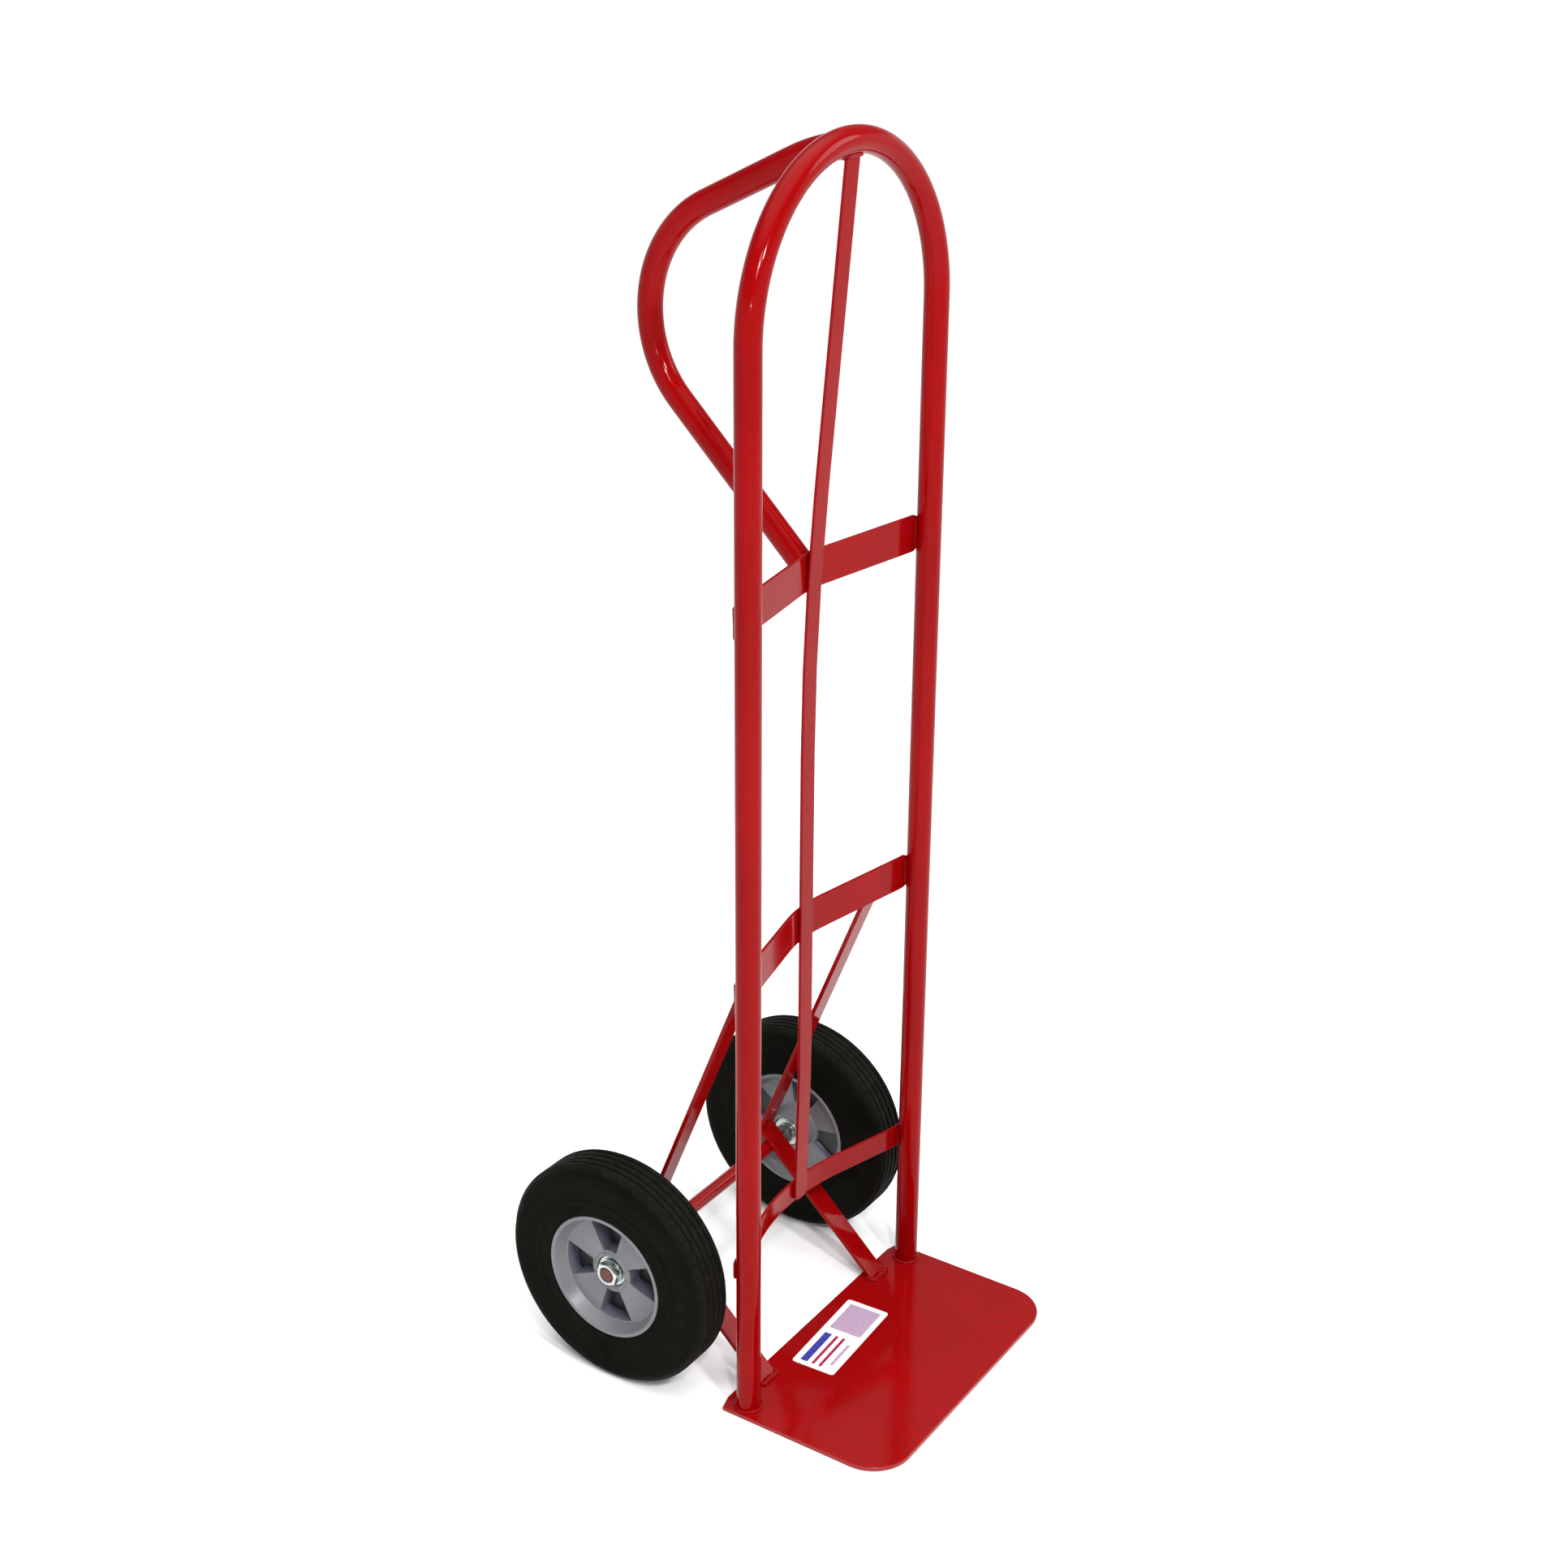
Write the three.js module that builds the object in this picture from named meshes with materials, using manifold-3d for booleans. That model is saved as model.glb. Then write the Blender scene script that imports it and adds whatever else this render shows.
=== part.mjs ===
// Steel hand truck: one bent tube loop, a second bent tube as the rear grip, flat bar cross pieces,
// a toe plate, two V-shaped axle brackets and two solid-tyre wheels on ball bearings.
// Units are millimetres. X runs across the truck, the toe plate points to -Y, Z is up,
// the floor is Z = 0 and the middle of the bounding box is at X = 0, Y = 0.
import * as THREE from "three";
import { mergeVertices } from "three/addons/utils/BufferGeometryUtils.js";
import Module from "manifold-3d";

const wasm = await Module();
wasm.setup();

// ---------- driving dimensions ----------
const GAP = 0.3; // between pieces that are welded, pressed or clamped together

const TUBE_R = 12.7; // 1 inch tube
const TUBE_WALL = 1.9;
const TUBE_SPACING = 320.5; // leg centre to leg centre
const ARCH_R = TUBE_SPACING / 2; // the loop closes in a half circle
const ARCH_Z = 1111.2; // height where the half circle starts

const PLATE_W = 355.6;
const PLATE_FRONT = 180; // ahead of the tube plane
const PLATE_BACK = 26; // behind the tube plane
const PLATE_T = 4.76;
const PLATE_CORNER_R = 45;
const PLATE_CLIP_X = 17; // clipped rear corners
const PLATE_CLIP_Y = 5;

const BAR_T = 3.2; // crossbar thickness
const BAR_KNEE_X = 150; // where a crossbar leaves the tube plane
const BAR_KNEE_R = 60;
// Each crossbar: middle height, half length, where its two halves would meet as (across, back),
// the radius that rounds that corner, and how many degrees its right end is raised.
const UPPER_BAR = { z: 869, height: 38.1, half: 162, peak: [0, 37.8], bow: 100, tilt: 1.6 };
const MIDDLE_BAR = { z: 490.7, height: 38.1, half: 162, peak: [0, 45.2], bow: 150, tilt: 2.6 };
const LOWER_BAR = { z: 168.5, height: 25.4, half: 165, peak: [-15, 57], bow: 280, tilt: -0.6 };

const STRAP_W = 22.2;
const STRAP_T = 3.2;
const STRAP_Y = 37.2; // front face of the straight lower part
const STRAP_KNEE_Z = 814; // where the slope and the upright part would meet
const STRAP_SLOPE = 0.0918;
const STRAP_KNEE_R = 3000;
const STRAP_FOOT_Y = 41.2; // front face at the lower end, bent back to the lower crossbar
const STRAP_FOOT_KNEE_Z = 310;
const STRAP_FOOT_KNEE_R = 1500;
const STRAP_BOTTOM = 157.5;
const STRAP_TOP = 1262;

const GRIP_START = [2, 1266.9]; // inside the loop tube, as (behind the tube plane, height)
const GRIP_START_ANGLE = 7.6; // downward slope where the upper arm leaves the loop, degrees
const GRIP_ARM_ANGLE = 25.26; // downward slope of its straight stretch
const GRIP_ARM_KNEE = 32.2; // from the start to where those two slopes meet
const GRIP_ARM_R = 200;
const GRIP_BEND_R = 117;
const GRIP_LOW_Y = 37;
const GRIP_LOW_Z = 863.9;
const GRIP_LOW_ANGLE = 44.62;

const WHEEL_R = 127;
const AXLE_Y = 156; // behind the tube plane
const AXLE_R = 7.94; // 5/8 inch rod
const WHEEL_X = 176; // wheel mid-plane
const AXLE_HALF = WHEEL_X + 23.2;
const LEFT_TURN = -4.2; // resting angle of each wheel's pockets, degrees
const RIGHT_TURN = 14.6;

const BRACKET_X = 111.7;
const BRACKET_W = 25.4;
const BRACKET_T = 4.76;
const BRACKET_TOP = [33.3, 465.7]; // front face of the upper leg at the middle crossbar
const BRACKET_UPPER_SLOPE = 0.4046; // backward run per unit of drop
const BRACKET_END_Z = 497; // its upper end, behind the middle crossbar
const BRACKET_FOOT = [18, 15.5]; // a point on the top face of the lower leg near the plate
const BRACKET_BEND_R = 5;

const LABEL = { w: 127, d: 51, t: 0.4, x: -8.5, y: -18.2, turn: 3.1 };

const RIM_R = 70.7;
const RIM_S = 26.3; // half width of the hub
const SPOKE_S = 12.5;
const POCKETS = 4;
const POCKET_DEGREES = 43;
const POCKET_R = 59.5;
const OUTER_POCKET = { inner: 24, from: -2, to: 40 }; // innermost radius, floor, past the face
const INNER_POCKET = { inner: 28.5, from: -40, to: -6 };

// The tube plane lies this far ahead of the middle of the bounding box.
const TUBE_PLANE_Y = -(AXLE_Y + WHEEL_R - PLATE_FRONT) / 2;

// ---------- materials ----------
const finish = (color, roughness, metalness) => () =>
  new THREE.MeshStandardMaterial({ color, roughness, metalness });
const redEnamel = finish(0xb01015, 0.3, 0.1);
const rubber = finish(0x151515, 0.85, 0);
const hubGrey = finish(0x8f9093, 0.5, 0);
const zinc = finish(0xb9bcbf, 0.35, 1);
const labelWhite = finish(0xe8e6e4, 0.5, 0);

// ---------- helpers ----------
const rad = THREE.MathUtils.degToRad;
// Turns a shape drawn in (y, z) and extruded along its own z into the truck's axes.
const SIDE_ON = new THREE.Matrix4().makeBasis(
  new THREE.Vector3(0, 1, 0),
  new THREE.Vector3(0, 0, 1),
  new THREE.Vector3(1, 0, 0),
);

function solid(geometry) {
  const g = geometry.clone();
  g.deleteAttribute("normal");
  g.deleteAttribute("uv");
  const merged = mergeVertices(g, 1e-4);
  return new wasm.Manifold(
    new wasm.Mesh({
      numProp: 3,
      vertProperties: merged.attributes.position.array,
      triVerts: new Uint32Array(merged.index.array),
    }),
  );
}

function geometryOf(manifold) {
  const m = manifold.getMesh();
  const g = new THREE.BufferGeometry();
  g.setAttribute("position", new THREE.BufferAttribute(m.vertProperties, 3));
  g.setIndex(new THREE.BufferAttribute(m.triVerts, 1));
  const flat = g.toNonIndexed();
  flat.computeVertexNormals();
  return flat;
}

function extruded(shape, depth, curveSegments = 12) {
  return new THREE.ExtrudeGeometry(shape, { depth, bevelEnabled: false, curveSegments });
}

function circleShape(r, segments) {
  const s = new THREE.Shape();
  for (let i = 0; i < segments; i++) {
    const a = (2 * Math.PI * i) / segments;
    const p = [r * Math.cos(a), r * Math.sin(a)];
    if (i) s.lineTo(...p);
    else s.moveTo(...p);
  }
  s.closePath();
  return s;
}

function ringShape(outer, inner, outerSegments, innerSegments) {
  const s = circleShape(outer, outerSegments);
  s.holes.push(circleShape(inner, innerSegments));
  return s;
}

function polygon(points) {
  const s = new THREE.Shape();
  points.forEach(([x, y], i) => (i ? s.lineTo(x, y) : s.moveTo(x, y)));
  s.closePath();
  return s;
}

function roundedRect(w, h, r) {
  const s = new THREE.Shape();
  const [x, y] = [w / 2, h / 2];
  s.moveTo(-x + r, -y);
  s.lineTo(x - r, -y);
  s.absarc(x - r, -y + r, r, -Math.PI / 2, 0);
  s.lineTo(x, y - r);
  s.absarc(x - r, y - r, r, 0, Math.PI / 2);
  s.lineTo(-x + r, y);
  s.absarc(-x + r, y - r, r, Math.PI / 2, Math.PI);
  s.lineTo(-x, -y + r);
  s.absarc(-x + r, -y + r, r, Math.PI, 1.5 * Math.PI);
  return s;
}

// Points with unit tangents along straight runs joined by arcs of the given radii.
function filletedPath(corners, radii, arcSteps) {
  const pts = corners.map((c) => new THREE.Vector2(...c));
  const out = [];
  const first = pts[1].clone().sub(pts[0]).normalize();
  out.push({ p: pts[0], t: first });
  for (let i = 1; i < pts.length - 1; i++) {
    const a = pts[i].clone().sub(pts[i - 1]).normalize();
    const b = pts[i + 1].clone().sub(pts[i]).normalize();
    const turn = Math.atan2(a.cross(b), a.dot(b));
    const r = radii[i - 1];
    const reach = r * Math.tan(Math.abs(turn) / 2);
    const start = pts[i].clone().addScaledVector(a, -reach);
    const side = new THREE.Vector2(-a.y, a.x).multiplyScalar(Math.sign(turn));
    const centre = start.clone().addScaledVector(side, r);
    for (let k = 0; k <= arcSteps[i - 1]; k++) {
      const w = (turn * k) / arcSteps[i - 1];
      out.push({
        p: start.clone().rotateAround(centre, w),
        t: a.clone().rotateAround(new THREE.Vector2(), w),
      });
    }
  }
  const last = pts[pts.length - 1];
  out.push({ p: last, t: last.clone().sub(pts[pts.length - 2]).normalize() });
  return out;
}

// A flat strip seen on edge: the band between two offsets to the left of a path.
function band(path, near, far) {
  const at = (q, d) => [q.p.x - q.t.y * d, q.p.y + q.t.x * d];
  return polygon([
    ...path.map((q) => at(q, near)),
    ...path.map((q) => at(q, far)).reverse(),
  ]);
}

// A bend line in space sampled at the fillet ends and along the arcs.
class BentLine extends THREE.Curve {
  constructor(points, tangents) {
    super();
    this.points = points;
    this.tangents = tangents;
  }
  getPoint(t, target = new THREE.Vector3()) {
    const n = this.points.length - 1;
    const i = Math.min(n - 1, Math.floor(t * n + 1e-9));
    return target.lerpVectors(this.points[i], this.points[i + 1], t * n - i);
  }
  getPointAt(u, target) {
    return this.getPoint(u, target);
  }
  getTangent(t, target = new THREE.Vector3()) {
    const n = this.points.length - 1;
    return target.copy(this.tangents[Math.min(n, Math.round(t * n))]);
  }
  getTangentAt(u, target) {
    return this.getTangent(u, target);
  }
}

function alongPath(shape, path, toSpace) {
  const line = new BentLine(
    path.map((q) => toSpace(q.p)),
    path.map((q) => toSpace(q.t)),
  );
  return new THREE.ExtrudeGeometry(shape, {
    steps: path.length - 1,
    bevelEnabled: false,
    extrudePath: line,
  });
}

// A turned piece from a closed (radius, distance outward) profile, its axis laid along X.
function turned(profile, segments, side) {
  const pts = profile.map(([r, s]) => new THREE.Vector2(r, s));
  if (THREE.ShapeUtils.isClockWise(pts)) pts.reverse();
  const g = new THREE.LatheGeometry([...pts, pts[0]], segments);
  g.rotateZ((-side * Math.PI) / 2);
  return g;
}

const boxBetween = (a, b) => {
  const size = b.map((v, i) => v - a[i]);
  const g = new THREE.BoxGeometry(...size);
  g.translate(...a.map((v, i) => v + size[i] / 2));
  return g;
};

const inSide = (p) => new THREE.Vector3(0, p.x, p.y);
const inFront = (p) => new THREE.Vector3(p.x, 0, p.y);

// ---------- welded frame ----------
const plateTop = PLATE_T + GAP;

function loopPath(bottom) {
  const path = [
    { p: new THREE.Vector2(-ARCH_R, bottom), t: new THREE.Vector2(0, 1) },
  ];
  const steps = 28;
  for (let i = 0; i <= steps; i++) {
    const a = Math.PI * (1 - i / steps);
    path.push({
      p: new THREE.Vector2(ARCH_R * Math.cos(a), ARCH_Z + ARCH_R * Math.sin(a)),
      t: new THREE.Vector2(Math.sin(a), -Math.cos(a)),
    });
  }
  path.push({ p: new THREE.Vector2(ARCH_R, bottom), t: new THREE.Vector2(0, -1) });
  return path;
}

const tubeShape = () => ringShape(TUBE_R, TUBE_R - TUBE_WALL, 24, 12);
const loopEnvelope = () =>
  solid(alongPath(circleShape((TUBE_R + GAP) / Math.cos(Math.PI / 24), 24), loopPath(0), inFront));

function frameLoop() {
  return alongPath(tubeShape(), loopPath(plateTop), inFront);
}

function crossbarPath({ peak, bow, half }) {
  const start = TUBE_R + GAP;
  return filletedPath(
    [
      [-half, start],
      [-BAR_KNEE_X, start],
      peak,
      [BAR_KNEE_X, start],
      [half, start],
    ],
    [BAR_KNEE_R, bow, BAR_KNEE_R],
    [4, 14, 4],
  );
}

// Turns a crossbar's geometry about its middle, with its right end raised.
function tilted(g, bar) {
  g.translate(0, 0, -bar.z);
  g.rotateY(-rad(bar.tilt));
  g.translate(0, 0, bar.z);
  return g;
}

// The crossbar with its ends rounded in the upright plane.
function crossbar(bar) {
  const plan = extruded(band(crossbarPath(bar), 0, BAR_T), bar.height);
  plan.translate(0, 0, bar.z - bar.height / 2);
  const outline = extruded(roundedRect(2 * bar.half, bar.height, bar.height * 0.28), 120, 4);
  outline.rotateX(Math.PI / 2);
  outline.translate(0, 100, bar.z);
  return tilted(geometryOf(solid(plan).intersect(solid(outline))), bar);
}

// Everything in front of a crossbar's rear face, used to fit pieces welded behind it.
function aheadOfBar(bar) {
  const g = extruded(band(crossbarPath(bar), -80, BAR_T + GAP), bar.height + 60);
  g.translate(0, 0, bar.z - bar.height / 2 - 30);
  return solid(tilted(g, bar));
}

// A strip seen from the side, swept across the truck.
function sideStrip(path, near, far, width, centre) {
  const g = extruded(band(path, near, far), width);
  g.translate(0, 0, centre - width / 2);
  g.applyMatrix4(SIDE_ON);
  return solid(g);
}

function strapPath() {
  const topY = STRAP_Y - STRAP_SLOPE * (STRAP_TOP - STRAP_KNEE_Z);
  return filletedPath(
    [
      [topY, STRAP_TOP],
      [STRAP_Y, STRAP_KNEE_Z],
      [STRAP_Y, STRAP_FOOT_KNEE_Z],
      [STRAP_FOOT_Y, STRAP_BOTTOM],
    ],
    [STRAP_KNEE_R, STRAP_FOOT_KNEE_R],
    [8, 4],
  );
}

function centerStrap() {
  const strip = sideStrip(strapPath(), 0, STRAP_T, STRAP_W, 0);
  const height = 1400;
  const outline = extruded(roundedRect(STRAP_W + 0.02, height, 9), 200, 5);
  outline.rotateX(Math.PI / 2);
  outline.translate(0, 150, STRAP_BOTTOM + height / 2);
  return geometryOf(strip.intersect(solid(outline)).subtract(loopEnvelope()));
}

const heading = (degrees) => new THREE.Vector2(Math.cos(rad(degrees)), Math.sin(rad(degrees)));

function rearGrip() {
  const start = new THREE.Vector2(...GRIP_START);
  const armKnee = start.clone().addScaledVector(heading(-GRIP_START_ANGLE), GRIP_ARM_KNEE);
  const upper = heading(-GRIP_ARM_ANGLE);
  const lower = heading(GRIP_LOW_ANGLE);
  const foot = new THREE.Vector2(GRIP_LOW_Y, GRIP_LOW_Z);
  const reach = foot.clone().sub(armKnee).cross(lower) / upper.cross(lower);
  const bend = armKnee.clone().addScaledVector(upper, reach);
  const end = foot.clone().addScaledVector(lower, -14);
  const path = filletedPath(
    [start.toArray(), armKnee.toArray(), bend.toArray(), end.toArray()],
    [GRIP_ARM_R, GRIP_BEND_R],
    [4, 16],
  );
  const aheadOfStrap = sideStrip(strapPath(), -60, STRAP_T + GAP, 60, 0);
  const tube = solid(alongPath(tubeShape(), path, inSide));
  return geometryOf(
    tube.subtract(loopEnvelope()).subtract(aheadOfBar(UPPER_BAR)).subtract(aheadOfStrap),
  );
}

// The lower leg rests on the axle, so its slope follows from the foot and the axle.
function bracketCorners() {
  const [footY, footZ] = BRACKET_FOOT;
  const run = AXLE_Y - footY;
  const rise = WHEEL_R - footZ;
  const over = BRACKET_T + GAP + AXLE_R;
  const lean = Math.atan2(rise, run) + Math.asin(over / Math.hypot(run, rise));
  const lowerSlope = Math.tan(lean);
  const [topY, topZ] = BRACKET_TOP;
  const crookY =
    (topY + BRACKET_UPPER_SLOPE * (topZ - footZ + lowerSlope * footY)) /
    (1 + BRACKET_UPPER_SLOPE * lowerSlope);
  const crookZ = footZ + lowerSlope * (crookY - footY);
  const upY = topY - BRACKET_UPPER_SLOPE * 60;
  const downY = footY - 30;
  return [
    [upY, topZ + 60],
    [crookY, crookZ],
    [downY, footZ - 30 * lowerSlope],
  ];
}

function axleBracket(side) {
  const path = filletedPath(bracketCorners(), [BRACKET_BEND_R], [6]);
  const strip = sideStrip(path, 0, BRACKET_T, BRACKET_W, side * BRACKET_X);
  const below = solid(boxBetween([-300, -100, -100], [300, 200, plateTop]));
  const above = solid(boxBetween([-300, -100, BRACKET_END_Z], [300, 200, 700]));
  return geometryOf(strip.subtract(aheadOfBar(MIDDLE_BAR)).subtract(below).subtract(above));
}

function toePlate() {
  const x = PLATE_W / 2;
  const s = new THREE.Shape();
  s.moveTo(-x + PLATE_CORNER_R, -PLATE_FRONT);
  s.lineTo(x - PLATE_CORNER_R, -PLATE_FRONT);
  s.absarc(x - PLATE_CORNER_R, -PLATE_FRONT + PLATE_CORNER_R, PLATE_CORNER_R, -Math.PI / 2, 0);
  s.lineTo(x, PLATE_BACK - PLATE_CLIP_Y);
  s.lineTo(x - PLATE_CLIP_X, PLATE_BACK);
  s.lineTo(-x + PLATE_CLIP_X, PLATE_BACK);
  s.lineTo(-x, PLATE_BACK - PLATE_CLIP_Y);
  s.lineTo(-x, -PLATE_FRONT + PLATE_CORNER_R);
  s.absarc(-x + PLATE_CORNER_R, -PLATE_FRONT + PLATE_CORNER_R, PLATE_CORNER_R, Math.PI, 1.5 * Math.PI);
  return extruded(s, PLATE_T, 12);
}

function plateLabel() {
  const g = extruded(roundedRect(LABEL.w, LABEL.d, 3), LABEL.t, 4);
  g.rotateZ(rad(LABEL.turn));
  g.translate(LABEL.x, LABEL.y, PLATE_T + 0.2);
  return g;
}

// ---------- wheels, all on the X axis and moved to the axle afterwards ----------
const hubProfile = [
  [12, -0.7],
  [15.3, -0.7],
  [15.3, 9.5],
  [17.7, 9.5],
  [17.7, 14],
  [21.6, 14],
  [22.4, SPOKE_S],
  [60, SPOKE_S],
  [66.4, 25.2],
  [67.2, RIM_S],
  [RIM_R, RIM_S],
  [RIM_R, -RIM_S],
  [67.2, -RIM_S],
  [66.4, -25.2],
  [60, -SPOKE_S],
  [27.5, -SPOKE_S],
  [24, -19],
  [22.4, -34],
  [17.7, -34],
  [17.7, -29.5],
  [15.3, -29.5],
  [15.3, -19.3],
  [12, -19.3],
];

function wedge(centreDegrees, { inner, from, to }) {
  const low = rad(centreDegrees - POCKET_DEGREES / 2);
  const high = rad(centreDegrees + POCKET_DEGREES / 2);
  const s = new THREE.Shape();
  s.absarc(0, 0, POCKET_R, low, high);
  s.absarc(0, 0, inner, high, low, true);
  s.closePath();
  const g = extruded(s, to - from, 6);
  g.translate(0, 0, from);
  g.applyMatrix4(SIDE_ON);
  return solid(g);
}

function hub(side, turn) {
  let body = solid(turned(hubProfile, 40, side));
  const mirrored = ({ inner, from, to }) => ({ inner, from: -to, to: -from });
  const pockets = [OUTER_POCKET, INNER_POCKET].map((p) => (side > 0 ? p : mirrored(p)));
  for (let i = 0; i < POCKETS; i++)
    for (const pocket of pockets) body = body.subtract(wedge(turn + (360 / POCKETS) * i, pocket));
  return geometryOf(body);
}

function tyreProfile() {
  const side = [
    [71, 26],
    [72.5, 26.6],
    [104, 27.2],
    [114, 26.9],
    [120, 25.2],
    [124.2, 22],
    [126.6, 18.8],
    [WHEEL_R, 16.6],
  ];
  const grooves = [12.6, 4.2].flatMap((s) => [
    [WHEEL_R, s + 1.2],
    [WHEEL_R - 2, s],
    [WHEEL_R, s - 1.2],
  ]);
  const half = [...side, ...grooves];
  const mirrored = half.map(([r, s]) => [r, -s]).reverse();
  return [...half, ...mirrored];
}

const cupProfile = (face, inward) =>
  [
    [11.2, 0],
    [16.6, 0],
    [17.4, -0.6],
    [17.4, -1.6],
    [15, -1.6],
    [15, -10],
    [11.2, -10],
  ].map(([r, s]) => [r, face + inward * s]);

const sleeveProfile = (inner, outer, from, to) => [
  [inner, from],
  [outer, from],
  [outer, to],
  [inner, to],
];

const OUTER_CUP_S = 11.4; // outer face of the outer bearing
const INNER_CUP_S = -31.4;
const CONE_R = 10.8;
const BORE_R = AXLE_R + GAP;

function hexNut(from, to, side) {
  const corner = 23.8 / Math.sqrt(3);
  const s = circleShape(corner, 6);
  s.holes.push(circleShape(BORE_R, 20));
  const g = extruded(s, to - from);
  g.translate(0, 0, side > 0 ? from : -to);
  g.applyMatrix4(SIDE_ON);
  const chamfer = turned(
    [
      [5, from],
      [12.1, from],
      [14.2, from + 1.2],
      [14.2, to - 1.2],
      [12.1, to],
      [5, to],
    ],
    32,
    side,
  );
  g.rotateX(rad(16));
  return geometryOf(solid(g).intersect(solid(chamfer)));
}

// ---------- assembly ----------
const truck = new THREE.Group();
truck.name = "hand_truck";

function add(name, geometry, material, x = 0, y = 0, z = 0) {
  const mesh = new THREE.Mesh(geometry, material());
  mesh.name = name;
  mesh.position.set(x, TUBE_PLANE_Y + y, z);
  truck.add(mesh);
}

add("frame_loop", frameLoop(), redEnamel);
add("rear_grip", rearGrip(), redEnamel);
add("upper_crossbar", crossbar(UPPER_BAR), redEnamel);
add("middle_crossbar", crossbar(MIDDLE_BAR), redEnamel);
add("lower_crossbar", crossbar(LOWER_BAR), redEnamel);
add("center_strap", centerStrap(), redEnamel);
add("toe_plate", toePlate(), redEnamel);
add("toe_plate_label", plateLabel(), labelWhite);

const axle = new THREE.CylinderGeometry(AXLE_R, AXLE_R, 2 * AXLE_HALF, 24);
axle.rotateZ(Math.PI / 2);
add("axle", axle, redEnamel, 0, AXLE_Y, WHEEL_R);

const spacerInner = WHEEL_X - (BRACKET_X + BRACKET_W / 2 + GAP);
for (const [name, side, turn] of [
  ["left", -1, LEFT_TURN],
  ["right", 1, RIGHT_TURN],
]) {
  const onAxle = [side * WHEEL_X, AXLE_Y, WHEEL_R];
  add(name + "_axle_bracket", axleBracket(side), redEnamel);
  add(name + "_hub", hub(side, turn), hubGrey, ...onAxle);
  add(name + "_tyre", turned(tyreProfile(), 40, side), rubber, ...onAxle);
  add(name + "_outer_bearing_cup", turned(cupProfile(OUTER_CUP_S, 1), 24, side), zinc, ...onAxle);
  add(
    name + "_inner_bearing_cup",
    turned(cupProfile(INNER_CUP_S, -1), 24, side),
    zinc,
    ...onAxle,
  );
  const outerCone = sleeveProfile(BORE_R, CONE_R, OUTER_CUP_S - 10, OUTER_CUP_S + 0.7);
  const innerCone = sleeveProfile(BORE_R, CONE_R, INNER_CUP_S - 0.7, INNER_CUP_S + 10);
  const washer = sleeveProfile(BORE_R, 13.4, OUTER_CUP_S + 1, OUTER_CUP_S + 2.5);
  const spacer = sleeveProfile(BORE_R, 11.5, -spacerInner, INNER_CUP_S - 1);
  add(name + "_outer_bearing_cone", turned(outerCone, 24, side), zinc, ...onAxle);
  add(name + "_inner_bearing_cone", turned(innerCone, 24, side), zinc, ...onAxle);
  add(name + "_axle_washer", turned(washer, 24, side), zinc, ...onAxle);
  add(name + "_axle_spacer", turned(spacer, 24, side), zinc, ...onAxle);
  add(name + "_axle_nut", hexNut(OUTER_CUP_S + 2.8, OUTER_CUP_S + 10.2, side), zinc, ...onAxle);
}

export default truck;
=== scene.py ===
"""The looks of a steel hand truck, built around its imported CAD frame. Metres, +Z up, toe plate to -Y."""
import math
from collections import namedtuple
import bmesh
import bpy
from mathutils import Matrix, Vector, noise


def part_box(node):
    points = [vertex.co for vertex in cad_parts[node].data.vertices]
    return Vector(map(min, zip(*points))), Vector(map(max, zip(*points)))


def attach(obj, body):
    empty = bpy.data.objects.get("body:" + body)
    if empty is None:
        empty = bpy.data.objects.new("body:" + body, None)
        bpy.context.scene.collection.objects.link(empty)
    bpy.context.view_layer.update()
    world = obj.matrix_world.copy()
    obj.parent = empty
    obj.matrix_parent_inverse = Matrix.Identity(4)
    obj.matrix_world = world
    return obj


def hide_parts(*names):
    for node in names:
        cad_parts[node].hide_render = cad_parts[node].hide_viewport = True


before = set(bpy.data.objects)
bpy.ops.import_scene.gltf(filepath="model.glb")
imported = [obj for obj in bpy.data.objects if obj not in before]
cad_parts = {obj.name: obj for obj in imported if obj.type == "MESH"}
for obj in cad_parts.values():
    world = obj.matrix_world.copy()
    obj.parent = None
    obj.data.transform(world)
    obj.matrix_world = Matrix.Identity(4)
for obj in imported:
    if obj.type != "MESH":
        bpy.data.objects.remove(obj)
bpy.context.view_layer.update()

MM = 0.001
ROOT = "frame"
SIDES = {"left": -1, "right": 1}
X_AXIS = Vector((1, 0, 0))
Y_AXIS = Vector((0, 1, 0))
Z_AXIS = Vector((0, 0, 1))

# ----- sizes from the frame -----
loop_low, loop_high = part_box("frame_loop")
TUBE_R = (loop_high.y - loop_low.y) / 2
PLANE_Y = (loop_high.y + loop_low.y) / 2
LEG_X = loop_high.x - TUBE_R
ARCH_Z = loop_high.z - TUBE_R - LEG_X
APEX_Z = loop_high.z - TUBE_R
plate_low, plate_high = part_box("toe_plate")
PLATE_TOP = plate_high.z
strap_low, strap_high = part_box("center_strap")
axle_low, axle_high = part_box("axle")
AXLE_R = (axle_high.z - axle_low.z) / 2
AXLE_Y = (axle_high.y + axle_low.y) / 2
AXLE_Z = (axle_high.z + axle_low.z) / 2
tyre_low, tyre_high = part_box("right_tyre")
WHEEL_X = (tyre_low.x + tyre_high.x) / 2
TYRE_R = (tyre_high.z - tyre_low.z) / 2
TYRE_HALF = (tyre_high.x - tyre_low.x) / 2
SEAM = 0.3 * MM  # how far a welded end runs into its neighbour

# ----- shapes that a box does not hold -----
Bar = namedtuple("Bar", "height half peak bow tilt")

BAR_T = 3.2 * MM
BAR_CORNER = 0.8 * MM  # radius of flat stock's long edges
BAR_KNEE_X = 150 * MM
BAR_KNEE_R = 60 * MM
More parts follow.
